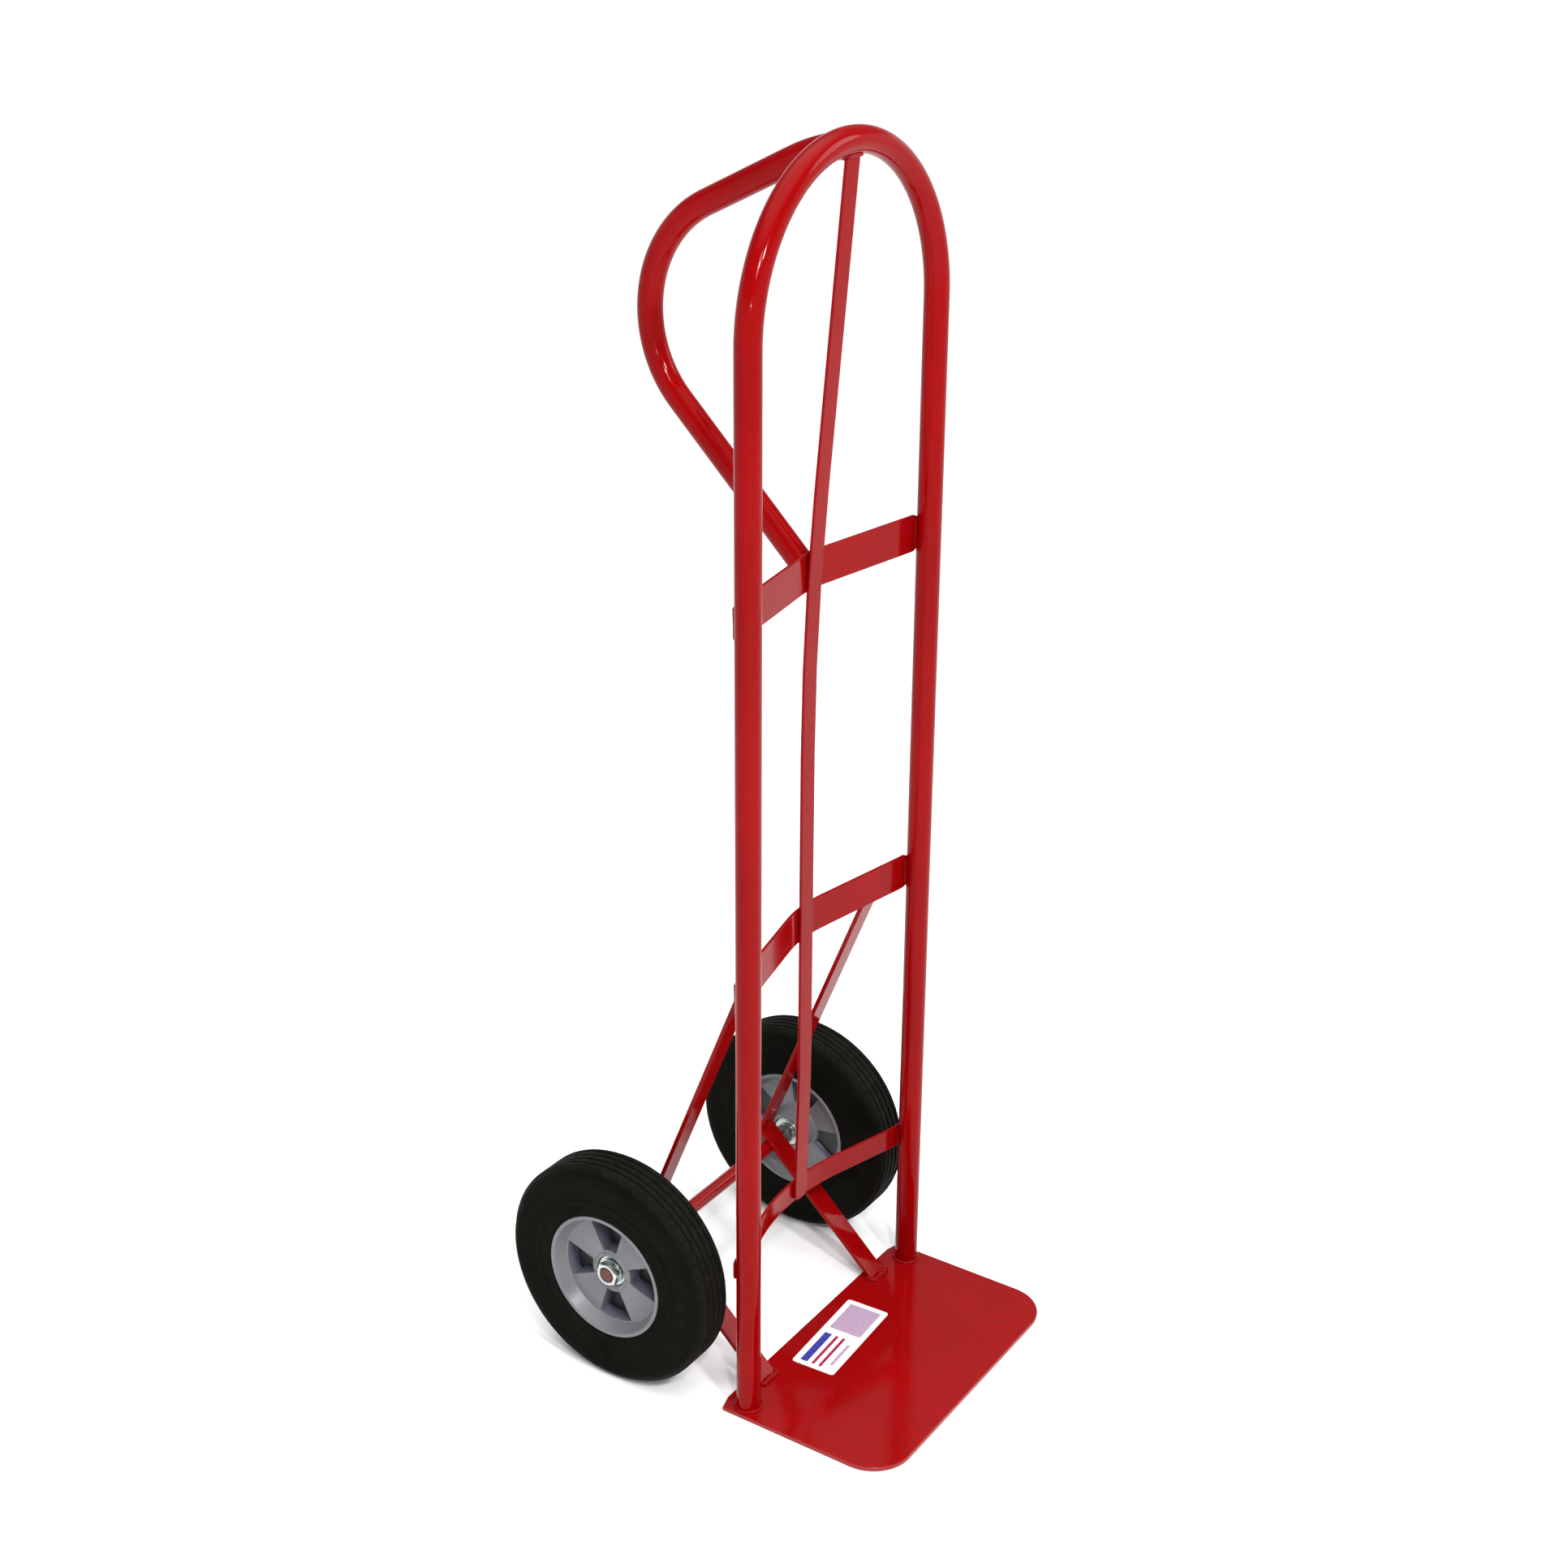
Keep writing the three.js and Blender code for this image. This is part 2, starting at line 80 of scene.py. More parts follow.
# A crossbar's halves would meet at its peak (across, back), and bow is the radius that rounds
# that corner. Tilt is in degrees, with the right end up.
BARS = {
    "upper": Bar(38.1 * MM, 162 * MM, Vector((0, 37.8 * MM)), 100 * MM, 1.6),
    "middle": Bar(38.1 * MM, 162 * MM, Vector((0, 45.2 * MM)), 150 * MM, 2.6),
    "lower": Bar(25.4 * MM, 165 * MM, Vector((-15 * MM, 57 * MM)), 280 * MM, -0.6),
}
STRAP_T = 3.2 * MM
STRAP_TOP = APEX_Z - 9.5 * MM
STRAP_Y = PLANE_Y + 37.2 * MM
STRAP_SLOPE = 0.0918  # metres forward for each metre up, above its knee
STRAP_KNEE_Z = 814 * MM
STRAP_KNEE_R = 3.0
STRAP_FOOT_Y = PLANE_Y + 41.2 * MM
STRAP_FOOT_KNEE_Z = 310 * MM
STRAP_FOOT_KNEE_R = 1.5
# The grip in its plane: (back, up), and headings in degrees up from straight back.
GRIP_START = Vector((PLANE_Y + 2 * MM, 1266.9 * MM))
GRIP_START_ANGLE = -7.6
GRIP_ARM_ANGLE = -25.26
GRIP_ARM_KNEE = 32.2 * MM
GRIP_ARM_R = 200 * MM
GRIP_BEND_R = 117 * MM
GRIP_FOOT = Vector((PLANE_Y + 37 * MM, 863.9 * MM))
GRIP_FOOT_ANGLE = 44.62
GRIP_STRAP_Z = 1255 * MM  # the height at which the strap's back limits the grip
BRACKET_T = 4.76 * MM
BRACKET_TOP = Vector((PLANE_Y + 33.3 * MM, 465.7 * MM))
BRACKET_UPPER_SLOPE = 0.4046
BRACKET_END = 497 * MM
BRACKET_FOOT = Vector((PLANE_Y + 18 * MM, 15.5 * MM))
BRACKET_BEND_R = 5 * MM
PLATE_CORNER_R = 45 * MM
PLATE_CLIP = Vector((17 * MM, 5 * MM))
PLATE_EDGE_R = 0.9 * MM
LABEL_HALF = Vector((63.5 * MM, 25.5 * MM))
LABEL_CORNER_R = 3 * MM
LABEL_TURN = math.radians(3.1)
WHEEL_TURN = {"left": math.radians(-4.2), "right": math.radians(14.6)}
POCKETS = 4
POCKET_HALF = math.radians(21.5)
TUBE_SIDES = 56
ROD_SIDES = 48
ARC_STEP = 2.5  # degrees between the rings of a bend

# ----- weld beads -----
BEAD_STEP = 0.8 * MM
BEAD_PITCH = 4.2 * MM  # from one ripple to the next
BEAD_SIDES = 12
BEAD_OFF = 0.4 * MM  # how far a bead's line stands off a face that it joins


# ----- paths in a plane -----
def heading(degrees):
    return rotated(Vector((1, 0)), math.radians(degrees))


def cross(a, b):
    return a.x * b.y - a.y * b.x


def left_of(t):
    return Vector((-t.y, t.x))


def rotated(v, angle):
    c, s = math.cos(angle), math.sin(angle)
    return Vector((c * v.x - s * v.y, s * v.x + c * v.y))


class Path:
    """Straight runs joined by arcs, measured by distance along it."""

    def __init__(self, corners, radii):
        points = [Vector(c) for c in corners]
        self.parts = []
        self.length = 0.0
        here = points[0]
        for i, radius in enumerate(radii, start=1):
            a = (points[i] - points[i - 1]).normalized()
            b = (points[i + 1] - points[i]).normalized()
            turn = math.atan2(cross(a, b), a.dot(b))
            reach = radius * math.tan(abs(turn) / 2)
            self._add(here, a, (points[i] - a * reach - here).length, 0.0)
            self._add(points[i] - a * reach, a, radius * abs(turn), turn)
            here = points[i] + b * reach
        last = points[-1] - here
        self._add(here, last.normalized(), last.length, 0.0)

    def _add(self, start, direction, length, turn):
        if length > 1e-9:
            self.parts.append((self.length, start, direction, length, turn))
            self.length += length

    def at(self, distance):
        """The point and the unit tangent there."""
        part = next((p for p in reversed(self.parts) if p[0] <= distance), self.parts[0])
        begin, start, direction, length, turn = part
        d = distance - begin
        if not turn:
            return start + direction * d, direction
        radius = length / turn
        centre = start + left_of(direction) * radius
        angle = d / radius
        return centre + rotated(start - centre, angle), rotated(direction, angle)

    def stations(self, line_step, arc_degrees, end_reach=0.0):
        """Distances for a loft: close together on arcs and over end_reach at both ends."""
        marks = {0.0, self.length}
        for begin, _, _, length, turn in self.parts:
            steps = max(1, math.ceil(length / line_step))
            if turn:
                steps = max(2, math.ceil(math.degrees(abs(turn)) / arc_degrees))
            marks.update(begin + length * i / steps for i in range(steps + 1))
        if end_reach:
            ends = [end_reach * (1 - math.cos(math.pi / 2 * i / 8)) for i in range(9)]
            marks = {m for m in marks if end_reach < m < self.length - end_reach}
            marks.update(ends)
            marks.update(self.length - e for e in ends)
        kept = []
        for m in sorted(marks):
            if not kept or m - kept[-1] > 0.05 * MM:
                kept.append(m)
        kept[-1] = self.length
        return kept


# ----- meshes -----
def new_object(name, bm, smooth_angle=40):
    bmesh.ops.recalc_face_normals(bm, faces=bm.faces)
    mesh = bpy.data.meshes.new(name)
    bm.to_mesh(mesh)
    bm.free()
    mesh.shade_smooth()
    mesh.set_sharp_from_angle(angle=math.radians(smooth_angle))
    obj = bpy.data.objects.new(name, mesh)
    bpy.context.scene.collection.objects.link(obj)
    normals = obj.modifiers.new("even_normals", "WEIGHTED_NORMAL")
    normals.weight = 80
    normals.keep_sharp = True
    return obj


def loft(rings, closed=False, marks=None):
    """A closed skin through rings of points, with flat ends unless the rings close on themselves.

    Marks, one for each point of a ring, go into the vertex layer called edge."""
    bm = bmesh.new()
    edge = bm.verts.layers.float.new("edge")
    count = len(rings[0])
    grid = [[bm.verts.new(p) for p in ring] for ring in rings]
    if marks:
        for row in grid:
            for v, mark in zip(row, marks):
                v[edge] = mark
    turns = len(grid) if closed else len(grid) - 1
    for i in range(turns):
        a, b = grid[i], grid[(i + 1) % len(grid)]
        for j in range(count):
            k = (j + 1) % count
            bm.faces.new((a[j], a[k], b[k], b[j]))
    if not closed:
        for ring in (grid[0], grid[-1]):
            middle = bm.verts.new(sum((v.co for v in ring), Vector()) / count)
            for j in range(count):
                bm.faces.new((ring[j], ring[(j + 1) % count], middle))
    return bm


def circle(centre, u, v, radius, count):
    """Points round a circle spanned by unit vectors u and v."""
    angles = [2 * math.pi * i / count for i in range(count)]
    return [centre + (u * math.cos(a) + v * math.sin(a)) * radius for a in angles]


def rounded_section(half_n, half_w, corner, steps=3):
    """Points of a rounded rectangle as (normal, width) pairs, and a mark of 1 on corner arcs."""
    points, marks = [], []
    for quarter, (sn, sw) in enumerate(((1, 1), (-1, 1), (-1, -1), (1, -1))):
        for i in range(steps + 1):
            a = math.pi / 2 * (quarter + i / steps)
            n = sn * (half_n - corner) + corner * math.cos(a)
            w = sw * (half_w - corner) + corner * math.sin(a)
            points.append((n, w))
            marks.append(1.0 if 0 < i < steps else 0.5)
    return points, marks


def flat_bar(path, to_space, width_axis, width, end_radius, thickness):
    """Flat stock whose front face follows the path, with rounded ends and edges."""
    rings = []
    for d in path.stations(25 * MM, ARC_STEP, end_radius):
        point, tangent = path.at(d)
        origin = to_space(point)
        normal = to_space(point + left_of(tangent)) - origin
        inset = min(d, path.length - d)
        half = width / 2
        if inset < end_radius:
            half -= end_radius - math.sqrt(max(0, end_radius**2 - (end_radius - inset) ** 2))
        thin = 0.0
        if inset < BAR_CORNER:
            thin = BAR_CORNER - math.sqrt(max(0, BAR_CORNER**2 - (BAR_CORNER - inset) ** 2))
        section, marks = rounded_section(thickness / 2 - 0.7 * thin, half, BAR_CORNER)
        centre = origin + normal * (thickness / 2)
        rings.append([centre + normal * n + width_axis * w for n, w in section])
    return loft(rings, marks=marks)


def cut(bm, point, normal, above=-1.0):
    """Removes what lies past a plane and higher than a level, and closes the cut."""
    parts = [f for f in bm.faces if min(v.co.z for v in f.verts) > above]
    parts += [e for e in bm.edges if min(v.co.z for v in e.verts) > above]
    parts += [v for v in bm.verts if v.co.z > above]
    made = bmesh.ops.bisect_plane(bm, geom=parts, plane_co=point, plane_no=normal, clear_outer=True)
    edges = [e for e in made["geom_cut"] if isinstance(e, bmesh.types.BMEdge)]
    bmesh.ops.contextual_create(bm, geom=edges)


def tube_rings(path, start_cut, end_cut):
    """Rings of a tube in the truck's middle plane, each end cut to fit its neighbour.

    A cut says how far outside the neighbour a point is."""
    angles = [2 * math.pi * j / TUBE_SIDES for j in range(TUBE_SIDES)]

    def surface(d, angle):
        point, tangent = path.at(d)
        normal = Vector((0, *left_of(tangent)))
        return Vector((0, *point)) + (X_AXIS * math.cos(angle) + normal * math.sin(angle)) * TUBE_R

    def first_clear(angle, begin, step, outside):
        d = begin
        while outside(surface(d, angle)) < 0:
            d += step
        return d

    fine, plain_end = 0.1 * MM, 1.5 * MM
    starts = [first_clear(a, 0.0, fine, start_cut) for a in angles]
    ends = [first_clear(a, path.length, -fine, end_cut) for a in angles]
    low, high = max(starts) + plain_end, min(ends) - plain_end
    middle = [d for d in path.stations(40 * MM, ARC_STEP) if low + MM < d < high - MM]
    rings = [[surface(d, a) for d, a in zip(starts, angles)]]
    rings += [[surface(d, a) for a in angles] for d in (low, *middle, high)]
    return rings + [[surface(d, a) for d, a in zip(ends, angles)]]


def wheel_point(side, radius, outward, angle):
    """A running-gear point, from its place about the axle and out from the wheel's middle."""
    x = side * (WHEEL_X + outward)
    return Vector((x, AXLE_Y + radius * math.cos(angle), AXLE_Z + radius * math.sin(angle)))


def revolved(profile, segments, side):
    """A closed (radius, outward) profile turned about the axle on one side of the truck."""
    angles = [2 * math.pi * j / segments for j in range(segments)]
    return loft([[wheel_point(side, r, s, a) for r, s in profile] for a in angles], closed=True)


def softened(profile, radius, steps=3):
    """The closed profile with its corners rounded. Millimetres in, metres out."""
    points = [Vector(p) for p in profile]
    out = []
    for i, p in enumerate(points):
        a = points[i - 1] - p
        b = points[(i + 1) % len(points)] - p
        limit = min(radius, 0.4 * a.length, 0.4 * b.length)
        start, end = p + a.normalized() * limit, p + b.normalized() * limit
        for k in range(steps + 1):
            t = k / steps
            q = start * (1 - t) ** 2 + p * (2 * t * (1 - t)) + end * t**2
            out.append((q.x * MM, q.y * MM))
    return out


def bead(name, points, radius, seed, closed=False):
    """A weld bead: a rippled rope of metal along the points, under the paint."""
    rope = resampled(points, closed)
    count = len(rope)
    rings = []
    travelled = 0.0
    for i, p in enumerate(rope):
        before = rope[i - 1] if closed or i else rope[0]
        after = rope[(i + 1) % count] if closed or i < count - 1 else rope[-1]
        tangent = (after - before).normalized()
        aside = Vector((0.31, 0.17, 0.94)) if abs(tangent.z) < 0.9 else X_AXIS
        u = tangent.cross(aside).normalized()
        v = tangent.cross(u)
        travelled += (p - before).length if i else 0.0
        ripple = 0.09 * math.cos(2 * math.pi * travelled / BEAD_PITCH)
        wander = 0.14 * noise.noise(Vector((travelled * 120, seed, 0.5)))
        r = radius * (1 + ripple + wander)
        if not closed:
            reach = min(i, count - 1 - i) * BEAD_STEP
            r *= min(1.0, 0.35 + 0.65 * math.sqrt(min(1.0, reach / (2 * radius))))
        shift = noise.noise(Vector((travelled * 90, seed + 7, 1.5))) * 0.12 * radius
        rings.append(circle(p + u * shift, u, v, r, BEAD_SIDES))
    rope = new_object("weld_" + name, loft(rings, closed=closed), smooth_angle=80)
    place(rope, ENAMEL, ROOT)


def resampled(points, closed):
    """The same line with its points evenly spaced, about BEAD_STEP apart."""
    loop = points + [points[0]] if closed else points
    lengths = [0.0]
    for a, b in zip(loop, loop[1:]):
        lengths.append(lengths[-1] + (b - a).length)
    count = max(4, round(lengths[-1] / BEAD_STEP))
    out, k = [], 0
    for i in range(count if closed else count + 1):
        d = lengths[-1] * i / count
        while k < len(lengths) - 2 and lengths[k + 1] < d:
            k += 1
        span = lengths[k + 1] - lengths[k]
        out.append(loop[k].lerp(loop[k + 1], (d - lengths[k]) / span if span else 0))
    return out


def loop_of_rectangle(centre, u, v, half_u, half_v):
    """Points round a rounded rectangle spanned by unit vectors u and v."""
    outline, _ = rounded_section(half_u, half_v, 2 * MM, steps=4)
    return [centre + u * a + v * b for a, b in outline]


# ----- node materials -----
class Nodes:
    """Short calls for building one material's node tree, on object coordinates in metres."""

    def __init__(self, name):
        self.material = bpy.data.materials.new(name)
        self.material.use_nodes = True
        self.tree = self.material.node_tree
        self.tree.nodes.clear()
        self.shader = self.add("BsdfPrincipled")
        self.add("OutputMaterial", Surface=self.shader.outputs["BSDF"])
        self.place = self.add("TexCoord").outputs["Object"]

    def put(self, value, socket):
        if hasattr(value, "is_output"):
            self.tree.links.new(value, socket)
        else:
            socket.default_value = value

    def fill(self, node, inputs):
        for name, value in inputs.items():
            self.put(value, node.inputs[name.replace("_", " ")])

    def set(self, **inputs):
        self.fill(self.shader, inputs)

    def add(self, kind, **inputs):
        node = self.tree.nodes.new("ShaderNode" + kind)
        self.fill(node, inputs)
        return node

    def noise(self, scale, detail=3.0, roughness=0.5, stretch=None):
        where = self.place
        if stretch:
            where = self.add("Mapping", Vector=where, Scale=stretch).outputs["Vector"]
        node = self.add("TexNoise", Vector=where, Scale=scale, Detail=detail, Roughness=roughness)
        return node.outputs["Fac"]

    def ramp(self, value, low, high, out_low=0.0, out_high=1.0):
        """Maps low..high to out_low..out_high, clamped."""
        node = self.add("MapRange", Value=value, From_Min=low, From_Max=high)
        self.fill(node, {"To Min": out_low, "To Max": out_high})
        return node.outputs["Result"]

    def math(self, operation, a, b=0.0):
        node = self.add("Math")
        node.operation = operation
        self.put(a, node.inputs[0])
        self.put(b, node.inputs[1])
        return node.outputs["Value"]

    def mix(self, factor, a, b):
        """Colour a where the factor is 0 and b where it is 1."""
        node = self.add("Mix")
        node.data_type = "RGBA"
        a, b = (value if hasattr(value, "is_output") else (*value, 1.0) for value in (a, b))
        self.fill(node, {"Factor": factor, "A": a, "B": b})
        return node.outputs["Result"]

    def attribute(self, name):
        node = self.add("Attribute")
        node.attribute_name = name
        return node.outputs["Fac"]

    def axis(self, letter):
        return self.add("SeparateXYZ", Vector=self.place).outputs[letter]

    def bump(self, height, distance, strength=1.0, below=None):
        node = self.add("Bump", Strength=strength, Distance=distance, Height=height)
        if below:
            self.put(below, node.inputs["Normal"])
        return node.outputs["Normal"]

    def from_axle(self):
        """Distance from the axle line."""
        y = self.math("SUBTRACT", self.axis("Y"), AXLE_Y)
        z = self.math("SUBTRACT", self.axis("Z"), AXLE_Z)
        squares = self.math("ADD", self.math("MULTIPLY", y, y), self.math("MULTIPLY", z, z))
        return self.math("SQRT", squares)


RED = (0.238, 0.0007, 0.0013)
RED_DEEP = (0.206, 0.0005, 0.0011)
RED_GRIME = (0.15, 0.0018, 0.002)
RED_WORN = (0.18, 0.007, 0.006)


def enamel_colour(n, strength=1.0):
    """Red that drifts a little, with faint grime, and worn thin on edges. Strength above 1 is painted
    light.
    """
    drift = n.ramp(n.noise(7, 2), 0.35, 0.65)
    fresh, deep = (tuple(c * strength for c in colour) for colour in (RED, RED_DEEP))
    base = n.mix(drift, fresh, deep)
    grime = n.ramp(n.noise(120, 6, 0.6), 0.5, 0.8, 0.0, 0.25)
    base = n.mix(grime, base, RED_GRIME)
    thin = n.math("MULTIPLY", n.attribute("edge"), n.ramp(n.noise(260, 4), 0.45, 0.65))
    return n.mix(n.math("MULTIPLY", thin, 0.5), base, RED_WORN)


def enamel_surface(n, reflection, roughness, ripple):
    """Gloss with faint orange peel. Reflection is the specular level."""
    peel = n.bump(n.noise(300, 2), 0.00006, 0.3)
    n.set(
        Roughness=n.ramp(n.noise(45, 5), 0.3, 0.7, roughness, roughness + 0.05),
        Specular_IOR_Level=reflection,
        Normal=n.bump(n.noise(30, 2), 0.0004, ripple, peel),
    )


def red_enamel():
    n = Nodes("red_enamel_paint")
    n.set(Base_Color=enamel_colour(n))
    enamel_surface(n, reflection=0.1, roughness=0.06, ripple=0.15)
    return n.material


def plate_enamel():
    """The same paint where it lay flat to dry, so it is smoother, and in a brighter copy as painted light.
    """
    n = Nodes("red_enamel_flat_lit")
    # Painted light: the plate's red is the enamel's made 1.2 times brighter, a lit copy of one paint.
    n.set(Base_Color=enamel_colour(n, 1.2))
    enamel_surface(n, reflection=0.44, roughness=0.085, ripple=0.06)
    return n.material


def axle_paint():
    """Enamel between the brackets and bare brown steel at the ends."""
    n = Nodes("axle_paint_and_steel")
    rust, dark_rust = (0.15, 0.052, 0.038), (0.075, 0.03, 0.024)
    bracket_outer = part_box("right_axle_bracket")[1].x
    out = n.math("ABSOLUTE", n.axis("X"))
    ragged = n.math("ADD", out, n.ramp(n.noise(300, 3), 0.3, 0.7, -0.002, 0.002))
    bare = n.ramp(ragged, bracket_outer, bracket_outer + MM)
    steel = n.mix(n.ramp(n.noise(260, 5), 0.3, 0.7), rust, dark_rust)
    n.set(Base_Color=n.mix(bare, enamel_colour(n), steel))
    turning_marks = n.noise(900, 2, stretch=(1.0, 0.2, 0.2))
    n.set(
        Roughness=n.ramp(bare, 0, 1, 0.2, 0.55),
        Metallic=n.ramp(bare, 0, 1, 0.0, 0.25),
        Specular_IOR_Level=0.3,
        Normal=n.bump(turning_marks, 0.0001, 0.4),
    )
    return n.material


def rubber():
    """Warm black; the tread lighter with dust and painted light; faint rings from the mould."""
    n = Nodes("tyre_rubber_black")
    black, faded, dust_and_top_light = (0.003, 0.003, 0.0019), (0.0052, 0.005, 0.0036), (0.013, 0.012, 0.01)
    base = n.mix(n.ramp(n.noise(24, 4), 0.3, 0.7), black, faded)
    r = n.from_axle()
    # The tread's lighter colour is dust and painted light, where the tread faces the light above.
    tread = n.ramp(r, TYRE_R - 6 * MM, TYRE_R - 0.5 * MM)
    dust_and_top_light_mask = n.math("MULTIPLY", tread, n.ramp(n.noise(130, 5), 0.35, 0.75, 0.25, 0.9))
    n.set(
        Base_Color=n.mix(dust_and_top_light_mask, base, dust_and_top_light),
        Roughness=n.ramp(n.noise(90, 5), 0.3, 0.7, 0.5, 0.68),
        Specular_IOR_Level=0.022,
    )
    grain = n.bump(n.noise(1500, 3), 0.00015, 0.5)
    rings = n.math("SINE", n.math("MULTIPLY", r, 2600.0))
    n.set(Normal=n.bump(rings, 0.00006, 0.35, grain))
    return n.material


def hub_plastic():
    """Speckled grey, with painted shade down the pockets, by the mesh's pocket shade mark."""
    n = Nodes("hub_moulded_grey")
    grey, pale_grey, fleck = (0.114, 0.114, 0.127), (0.137, 0.137, 0.148), (0.25, 0.25, 0.262)
    # Painted shade: a dim blue grey on the pocket walls and near black on their floors.
    wall, floor = (0.075, 0.08, 0.12), (0.006, 0.0065, 0.009)
    speckle = n.ramp(n.noise(900, 3), 0.35, 0.65)
    base = n.mix(n.ramp(n.noise(26, 3), 0.35, 0.65), grey, pale_grey)
    base = n.mix(n.math("MULTIPLY", speckle, 0.25), base, fleck)
    pocket_shade = n.attribute("pocket_shade")
    # Painted shade, deepening from the pocket lip down to the floor.
    base = n.mix(n.ramp(pocket_shade, 0.0, 0.4), base, wall)
    base = n.mix(n.ramp(pocket_shade, 0.4, 0.9), base, floor)
    n.set(
        Base_Color=base,
        Roughness=n.ramp(n.noise(60, 4), 0.3, 0.7, 0.30, 0.42),
        IOR=1.5,
        Normal=n.bump(n.noise(1300, 2), 0.0001, 0.35),
    )
    return n.material


def zinc():
    """Bright plating with a yellow and a blue cast in patches, and dull stains."""
    n = Nodes("zinc_plate_bright")
    yellow, blue, dull = (0.6, 0.6, 0.53), (0.52, 0.6, 0.64), (0.3, 0.29, 0.25)
    base = n.mix(n.ramp(n.noise(160, 3), 0.38, 0.62), yellow, blue)
    stain = n.ramp(n.noise(420, 5), 0.5, 0.75, 0.0, 0.5)
    n.set(
        Base_Color=n.mix(stain, base, dull),
        Metallic=1.0,
        Roughness=n.ramp(n.noise(240, 4), 0.3, 0.7, 0.16, 0.34),
        Normal=n.bump(n.noise(1800, 2), 0.00005, 0.4),
    )
    return n.material


def print_film(name, colour, ink_bump=0.0):
    """One colour of the label's print, with faint speckle and scuffs."""
    n = Nodes(name)
    scuff = n.ramp(n.noise(500, 5), 0.45, 0.8, 0.0, 0.1)
    dark = tuple(c * 0.75 for c in colour)
    n.set(
        Base_Color=n.mix(scuff, colour, dark),
        Roughness=n.ramp(n.noise(300, 3), 0.3, 0.7, 0.22, 0.34),
        Coat_Weight=0.4,
        Coat_Roughness=0.12,
        Normal=n.bump(n.noise(700, 2), 0.00003, 0.3 + ink_bump),
    )
    return n.material


ENAMEL = red_enamel()
PLATE_ENAMEL = plate_enamel()
AXLE_PAINT = axle_paint()
RUBBER = rubber()
PLASTIC = hub_plastic()
ZINC = zinc()


# ----- placing pieces -----
def place(obj, material, body, node=None):
    for m in material if isinstance(material, list) else [material]:
        obj.data.materials.append(m)
    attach(obj, body)
    if node:
        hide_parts(node)


def enamelled(name, bm, node, material=ENAMEL):
    place(new_object(name, bm), material, ROOT, node)


def side_on(x):
    """Turns a (y, z) point into space at that distance across the truck."""
    return lambda p: Vector((x, *p))


# ----- welded frame -----
def build_loop():
    """Up the left leg, round the arch and down the right leg."""
    bottom = PLATE_TOP - SEAM
    leg_steps, arch_steps = 24, 96
    leg = [bottom + (ARCH_Z - bottom) * i / leg_steps for i in range(leg_steps)]
    stations = [(Vector((-LEG_X, PLANE_Y, z)), -X_AXIS) for z in leg]
    for i in range(arch_steps + 1):
        a = math.pi * (1 - i / arch_steps)
        outward = Vector((math.cos(a), 0, math.sin(a)))
        stations.append((Vector((0, PLANE_Y, ARCH_Z)) + outward * LEG_X, outward))
    stations += [(Vector((LEG_X, PLANE_Y, z)), X_AXIS) for z in reversed(leg)]
    rings = [circle(centre, Y_AXIS, outward, TUBE_R, TUBE_SIDES) for centre, outward in stations]
    enamelled("frame_tube_loop", loft(rings), "frame_loop")
    for name, side in SIDES.items():
        foot = Vector((side * LEG_X, PLANE_Y, PLATE_TOP + BEAD_OFF))
        round_leg = circle(foot, X_AXIS, Y_AXIS, TUBE_R + 0.5 * MM, ROD_SIDES)
        bead(name + "_leg_foot", round_leg, 2.5 * MM, closed=True, seed=side)


def bar_path(which):
    bar = BARS[which]
    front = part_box(which + "_crossbar")[0].y
    corners = [
        (-bar.half, front),
        (-BAR_KNEE_X, front),
        (bar.peak.x, PLANE_Y + bar.peak.y),
        (BAR_KNEE_X, front),
        (bar.half, front),
    ]
    return Path(corners, [BAR_KNEE_R, bar.bow, BAR_KNEE_R])


def bar_front(which):
    """How far back the middle of the bar's front face is."""
    path = bar_path(which)
    return path.at(path.length / 2)[0].y


def bar_middle(which):
    low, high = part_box(which + "_crossbar")
    return (low.z + high.z) / 2


def bar_tilt(which):
    """Turns a point about the bar's middle by its tilt."""
    pivot = Matrix.Translation((0, 0, bar_middle(which)))
    return pivot @ Matrix.Rotation(-math.radians(BARS[which].tilt), 4, "Y") @ pivot.inverted()


def build_crossbars():
    for which, bar in BARS.items():
        z = bar_middle(which)
        end_radius = 0.28 * bar.height
        skin = flat_bar(
            bar_path(which), lambda p: Vector((*p, z)), Z_AXIS, bar.height, end_radius, BAR_T
        )
        skin.transform(bar_tilt(which))
        enamelled(which + "_cross_bar", skin, which + "_crossbar")
        weld_bar_to_legs(which, bar)
        weld_bar_to_strap(which, bar)


def weld_bar_to_legs(which, bar):
    """At each end, a bead on the bar's edge and one in the groove between bar and tube."""
    z = bar_middle(which)
    turn = bar_tilt(which)
    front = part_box(which + "_crossbar")[0].y
    reach = bar.height / 2 - 3 * MM
    lines = (("end", bar.half - 0.4 * MM, 1.4 * MM), ("groove", 153.5 * MM, -1.2 * MM))
    for name, side in SIDES.items():
        for where, x, back in lines:
            ends = [turn @ Vector((side * x, front + back, z + up * reach)) for up in (-1, 1)]
            bead(f"{which}_bar_{name}_{where}", ends, 1.5 * MM, seed=z * 9 + side)


def weld_bar_to_strap(which, bar):
    """Along the bar's edges where the strap crosses it, but not under the lower bar."""
    z = bar_middle(which)
    for name, up in (("top", 1), ("bottom", -1)):
        if which == "lower" and up < 0:
            continue
        edge = z + up * (bar.height / 2 + 0.2 * MM)
        ends = [Vector((x, bar_front(which) + BEAD_OFF, edge)) for x in (-8 * MM, 8 * MM)]
        bead(f"{which}_bar_strap_{name}", ends, 1.6 * MM, seed=z * 5 + up)


